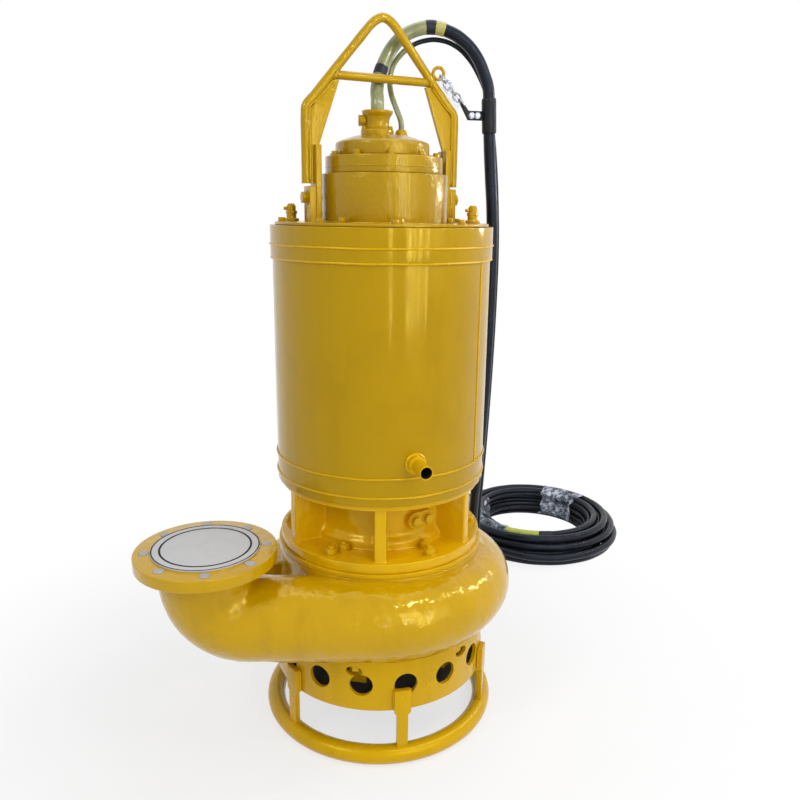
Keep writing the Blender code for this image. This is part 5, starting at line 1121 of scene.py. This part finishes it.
def make_bail():
    shoulder = (BAIL_REACH - BAIL_BEND, BAIL_KINK_Z + BAIL_BEND)
    peak = (BAIL_TOP_REACH, BAIL_TOP_Z - BAIL_TOP_DROP)
    half = [(BAIL_REACH, BAIL_FOOT_Z), (BAIL_REACH, BAIL_KINK_Z - BAIL_BEND), (BAIL_REACH - 0.0022, BAIL_KINK_Z),
            shoulder, peak, (0.0252, BAIL_TOP_Z - 0.01425), (0.014, BAIL_TOP_Z - 0.00525)]
    corners = [bail_point(x, z) for x, z in [(-x, z) for x, z in half] + [(0, BAIL_TOP_Z)] + half[::-1]]
    dense = []
    for a, b in zip(corners, corners[1:]):
        count = max(1, round((b - a).length / 0.018))
        dense += [a.lerp(b, i / count) for i in range(count)]
    line = curve_through(dense + corners[-1:], 0.006)
    bar = sweep(line, lambda share: BAIL_BAR / 2 + ripple(0.0005, share * 30, 1.7, 0), PIPE)
    piece("bail_bar", bar, SHADED_TOP_PAINT, "lifting_bail")

    slope = (peak[1] - shoulder[1]) / (peak[0] - shoulder[0])
    reach = shoulder[0] + (CROSSBAR_Z - shoulder[1]) / slope
    line = [bail_point(-reach + 2 * reach * i / 30, CROSSBAR_Z) for i in range(31)]
    parts = [sweep(line, lambda share: CROSSBAR_RADIUS + ripple(0.0004, share * 14, 5.2, 0), PIPE)]
    end = reach - CROSSBAR_RADIUS
    for way in (-1, 1):
        bead = [bail_point(way * (end - 0.004 * sin(t)), CROSSBAR_Z + CROSSBAR_WELD * sin(t), CROSSBAR_WELD * cos(t))
                for t in spread(26)]
        parts.append(weld(bead, 0.0026, 20 + way, True))
    piece("bail_cross_bar", merged(parts), SHADED_TOP_PAINT, "bail_crossbar")
    make_side_plates(shoulder, slope)


def make_side_plates(shoulder, slope):
    """Webs in the bail's corners, each on a strap that a bolt holds to its ear, with welds along the bar."""
    seat = COVER_TOP_Z + GAP
    bar_inner = BAIL_REACH - (BAIL_BAR / 2 - 0.001)
    upper_z = CROSSBAR_Z - 0.0095
    upper = shoulder[0] + (upper_z - shoulder[1]) / slope - 0.013
    outline = [(bar_inner, BAIL_FOOT_Z), (bar_inner, BAIL_KINK_Z - BAIL_BEND), (bar_inner - 0.002, BAIL_KINK_Z - 0.006),
               (bar_inner - 0.016, BAIL_KINK_Z + 0.013), (upper, upper_z), (0.094, upper_z),
               (STRAP_INNER, STRAP_TOP_Z), (STRAP_INNER, BAIL_FOOT_Z)]
    bead = [(BAIL_REACH - 0.0075, BAIL_FOOT_Z + 0.006), (BAIL_REACH - 0.0075, BAIL_KINK_Z - BAIL_BEND),
            (BAIL_REACH - 0.011, BAIL_KINK_Z + 0.001), (BAIL_REACH - 0.0255, BAIL_KINK_Z + 0.014),
            (upper + 0.002, upper_z - 0.002)]
    head = STRAP_INNER + STRAP + EAR + GAP * 2
    for tag, way in (("left", -1), ("right", 1)):
        web = slab([(way * x, z) for x, z in outline][::way], WEB, (0, 0, 0), (pi / 2, 0, BAIL_TURN), 0.0012)
        centre = bail_point(way * (STRAP_INNER + STRAP / 2), (STRAP_TOP_Z + seat) / 2)
        parts = [web, block((STRAP, STRAP_WIDTH, STRAP_TOP_Z - seat), centre, BAIL_TURN, 0.0014)]
        for side in (-1, 1):
            run = [bail_point(way * x, z, side * 0.0056) for x, z in bead]
            parts.append(weld(run, 0.0022, 40 + side + way))
        piece(f"bail_web_{tag}", merged(parts), SHADED_TOP_PAINT, f"bail_side_plate_{tag}")
        piece(f"bail_bolt_head_{tag}", bolt(bail_point(way * head, BAIL_BOLT_Z), bail_point(way, 0), 0.022, 0.0085),
              SHADED_TOP_PAINT, f"bail_bolt_{tag}")
    nuts = [bolt(bail_point(way * (STRAP_INNER - 0.0001), z), bail_point(-way, 0), 0.016, 0.0045, False)
            for way in (-1, 1) for z in BAIL_NUTS_Z]
    piece("bail_inner_nuts", merged(nuts), SHADED_TOP_PAINT)


# Chain, clamp and wraps

def main_way(points):
    """The way along which points that lie round the origin reach farthest."""
    reaches = Matrix([[sum(p[a] * p[b] for p in points) for b in range(3)] for a in range(3)])
    way = Vector((0.61, 0.37, 0.70))
    for _ in range(60):
        way = (reaches @ way).normalized()
    return way


def loop_of(cad_node, bar):
    """The middle line of a CAD loop of round bar, from the flat box that the loop fills."""
    points = [v.co - AXIS for v in NODES[cad_node].data.vertices]
    centre = sum(points, Vector()) / len(points)
    points = [p - centre for p in points]
    long_way = main_way(points)
    wide_way = main_way([p - long_way * p.dot(long_way) for p in points])
    wide_way = (wide_way - long_way * wide_way.dot(long_way)).normalized()
    reach = max(abs(p.dot(long_way)) for p in points) - bar / 2
    width = max(abs(p.dot(wide_way)) for p in points) - bar / 2
    straight = max(reach - width, 0.0)
    made = []
    for end in (1, -1):
        for k in range(14):
            turn = -pi / 2 + pi * k / 13
            point = centre + long_way * end * (straight + width * cos(turn)) + wide_way * end * width * sin(turn)
            if not made or (point - made[-1]).length > 0.0006:
                made.append(point)
    return made


def make_chain():
    piece("eye_ring", sweep(loop_of("bail_eye", EYE_BAR), EYE_BAR / 2, 16, True), SHADED_TOP_PAINT, "bail_eye")
    for i in range(1, LINK_COUNT + 1):
        cad_node = f"chain_link_{i}"
        piece(f"link_{i}", sweep(loop_of(cad_node, LINK_BAR), LINK_BAR / 2, 14, True), ZINC, cad_node)


def eye_centre():
    low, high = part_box("bail_eye")
    return (low + high) / 2 - AXIS


def make_clamp():
    """A sleeve round the power cable, and its flat arm towards the eye on the bail."""
    head, foot = Vector(CLAMP_HEAD), Vector(CLAMP_FOOT)
    centre = (head + foot) / 2
    arm = eye_centre() - centre
    arm.z = 0
    arm.normalize()
    half = (head - foot).length / 2
    outline = [(0.0146, half), (0.0155, half - 0.004), (0.0155, 0.004 - half), (0.0146, -half), (0.0134, -half),
               (0.0134, half)]
    profile = [(0.0145, -0.0095), (0.047, -0.0095), (0.064, 0.021), (0.0635, 0.0255), (0.058, 0.026), (0.0455, 0.0095),
               (0.0145, 0.0095)]
    out = arm.cross(UP)
    turned = Matrix((arm, UP, out)).transposed().to_4x4()
    parts = [lathe(outline, centre, 48, 0.0008, head - foot), slab(profile, 0.004, centre, turned, 0.0006)]
    piece("clamp_body", merged(parts), BLACK_PAINT, "cable_clamp")
    bolts = [bolt(centre + arm * reach + way * 0.0021, way, 0.0095, height)
             for reach in (0.026, 0.039) for way, height in ((out, 0.0045), (-out, 0.0035))]
    piece("clamp_bolts", merged(bolts), ZINC)


def turn_of(place):
    """Degrees round the coil, where 0 is its +X side."""
    return degrees(atan2(place.y - COIL_CENTRE.y, place.x - COIL_CENTRE.x))


def film_section(turn, share, seed):
    """The film goes round the whole bundle. Its two edges, at shares -1 and 1, are ragged."""
    points = []
    for t in spread(FILM_STEPS):
        ragged = turn + ripple(0.10 * share ** 3, cos(t) * 2.2, sin(t) * 2.2, seed + share)
        x = copysign(abs(cos(t)) ** FILM_ROUNDNESS, cos(t)) * FILM_HALF_WIDTH
        z = copysign(abs(sin(t)) ** FILM_ROUNDNESS, sin(t)) * FILM_HALF_HEIGHT
        if sin(t) > 0:
            z *= 1 - 0.5 * min(max((x / FILM_HALF_WIDTH - 0.1) / 0.5, 0), 1)
        crease = 1 + ripple(0.035, turn * 16, t * 3.0, seed) + ripple(0.02, turn * 50, t * 9, seed)
        points.append(coil_place(ragged, FILM_REACH + x * crease, FILM_RISE + z * crease))
    return points


def make_wraps():
    """Clear film round the chain and round two places of the coil, and strips of tape on the coil."""
    eye = eye_centre()
    way = Vector(CLAMP_FOOT) + Vector((-0.064, -0.010, 0.040)) - eye
    line = curve_through([eye + way * 0.10, eye + way * 0.5 + Vector((0.001, 0, 0.001)), eye + way * 0.92], 0.003)

    def bag(share):
        return 0.0102 + ripple(0.0022, share * 9, 2.2, 0) - 0.006 * abs(share - 0.5) ** 2
    bagged = uneven(sweep(line, bag, 20), lambda place: 0.0016 * noise.noise(place * 130))
    piece("chain_film", bagged, THIN_FILM)

    top = curve_through(coil_route(COIL_FOOT, 0.0)[TOP_TURN], 0.003)
    for name, first, last, radius, look in (("coil_film_tail", -160, -124, 0.0175, FILM),
                                            ("coil_lime_tape", -125, -95, 0.0131, LIME_TAPE),
                                            ("coil_clear_tape", -94, -84, 0.0132, TAPE)):
        mesh = sweep([place for place in top if first < turn_of(place) < last], radius, 28)
        if look is FILM:
            uneven(mesh, lambda place: 0.0030 * noise.noise(place * 60) + 0.0016 * noise.noise(place * 150))
        piece(name, mesh, look)
    for name, first, last, seed in (("coil_film_back", 28, 70, 4.0), ("coil_film_left", 150, 200, 8.0)):
        shares = [i / FILM_STEPS for i in range(FILM_STEPS + 1)]
        rows = [film_section(radians(first + (last - first) * share), 2 * share - 1, seed) for share in shares]
        piece(name, loft(rows, False), FILM)


# Camera, floor, background and light

def make_camera():
    data = bpy.data.cameras.new("camera")
    data.lens = CAMERA_LENS
    data.sensor_width = CAMERA_SENSOR
    camera = added("camera", data)
    turn = Matrix.Rotation(pi / 2 - CAMERA_PITCH, 4, "X") @ Matrix.Rotation(CAMERA_ROLL, 4, "Z")
    camera.matrix_world = Matrix.Translation(CAMERA_PLACE + AXIS) @ turn
    bpy.context.scene.camera = camera


def seen_rays(tree):
    """1 for rays from the camera, from a gloss or through glass."""
    path = tree.nodes.new("ShaderNodeLightPath").outputs
    total = path["Is Camera Ray"]
    for name in ("Is Glossy Ray", "Is Transmission Ray"):
        total = node(tree, "Math", {0: total, 1: path[name]}, operation="MAXIMUM")
    return total


def make_floor():
    """A white floor that keeps the shadow near the pump and fades into the background."""
    size = 14
    paper = Paper("floor_paper")
    tree = paper.tree
    paper.set(colour=paper.ramp(paper.noise(3), [(0.3, 0.86), (0.7, 0.89)]), roughness=0.8, specular=0.1)
    reach = node(tree, "VectorMath", {0: paper.place}, "Value", operation="LENGTH")
    fade = node(tree, "MapRange", {"Value": reach, "From Min": 0.45, "From Max": 1.3, "To Min": 0.66, "To Max": 1.0},
                "Result", interpolation_type="SMOOTHSTEP")
    seen = node(tree, "Math", {0: fade, 1: seen_rays(tree)}, operation="MULTIPLY")
    mix = node(tree, "MixShader", {0: seen, 1: paper.shader.outputs[0], 2: node(tree, "Emission", {})})
    feed(tree, tree.nodes["Material Output"].inputs["Surface"], mix)
    mesh = bpy.data.meshes.new("floor")
    mesh.from_pydata([(-size, -size, 0), (size, -size, 0), (size, size, 0), (-size, size, 0)], [], [(0, 1, 2, 3)])
    mesh.materials.append(paper.material)
    added("floor", mesh)


def make_world():
    """White where it is seen, and a weak cool light on the pump."""
    world = bpy.data.worlds.new("studio")
    bpy.context.scene.world = world
    world.use_nodes = True
    tree = world.node_tree
    cool = node(tree, "Background", {"Color": (0.93, 0.96, 1.0), "Strength": 0.45})
    white = node(tree, "Background", {"Color": (1, 1, 1), "Strength": 1.0})
    mix = node(tree, "MixShader", {0: seen_rays(tree), 1: cool, 2: white})
    feed(tree, tree.nodes["World Output"].inputs["Surface"], mix)


def lamp(name, place, target, size, power, colour=(1, 1, 1)):
    data = bpy.data.lights.new(name, "AREA")
    data.shape = "RECTANGLE"
    data.size, data.size_y = size
    data.energy = power
    data.color = colour
    turn = (Vector(target) - Vector(place)).to_track_quat("-Z", "Y").to_matrix().to_4x4()
    added(name, data).matrix_world = Matrix.Translation(place) @ turn


def make_lights():
    """Broad soft lamps, a row of small ones for the casing's gleams and upright strips for the jacket's."""
    middle = (0.1, 0, 0.7)
    lamp("key", (-1.9, -2.3, 3.0), middle, (1.2, 1.2), 31, (1.0, 0.985, 0.96))
    lamp("fill", (2.6, -1.6, 1.8), middle, (0.6, 2.2), 5)
    lamp("top", (0.2, 0.6, 3.4), middle, (1.8, 1.8), 15)
    for i, place in enumerate(((0.62, -1.10, 2.20), (0.98, -0.84, 2.16), (1.34, -0.46, 2.02), (1.62, -0.08, 1.84),
                               (1.80, 0.40, 1.58), (1.86, 0.90, 1.26))):
        lamp(f"gleam_{i + 1}", place, (0.1, 0, 0.35), (0.11, 0.11), 2.8)
    for i, (x, power) in enumerate(((0.55, 2.6), (1.25, 4.5), (1.47, 3.4), (1.75, 4.5), (2.15, 5.0))):
        lamp(f"strip_{i + 1}", (x, -2.45 + 0.22 * x, 1.35), (0.15, 0, 1.05), (0.045, 1.6), power)


# The camera comes first, because the cords are judged by its view
make_camera()
make_cords()
dress_frame()
make_base()
make_strainer()
make_casing()
make_back_plate()
make_bracket()
make_jacket()
make_top_cover()
make_terminal_box()
make_glands()
make_bail()
make_chain()
make_clamp()
make_wraps()
make_floor()
make_world()
make_lights()

bpy.context.scene.view_settings.view_transform = "Standard"
bpy.context.view_layer.update()
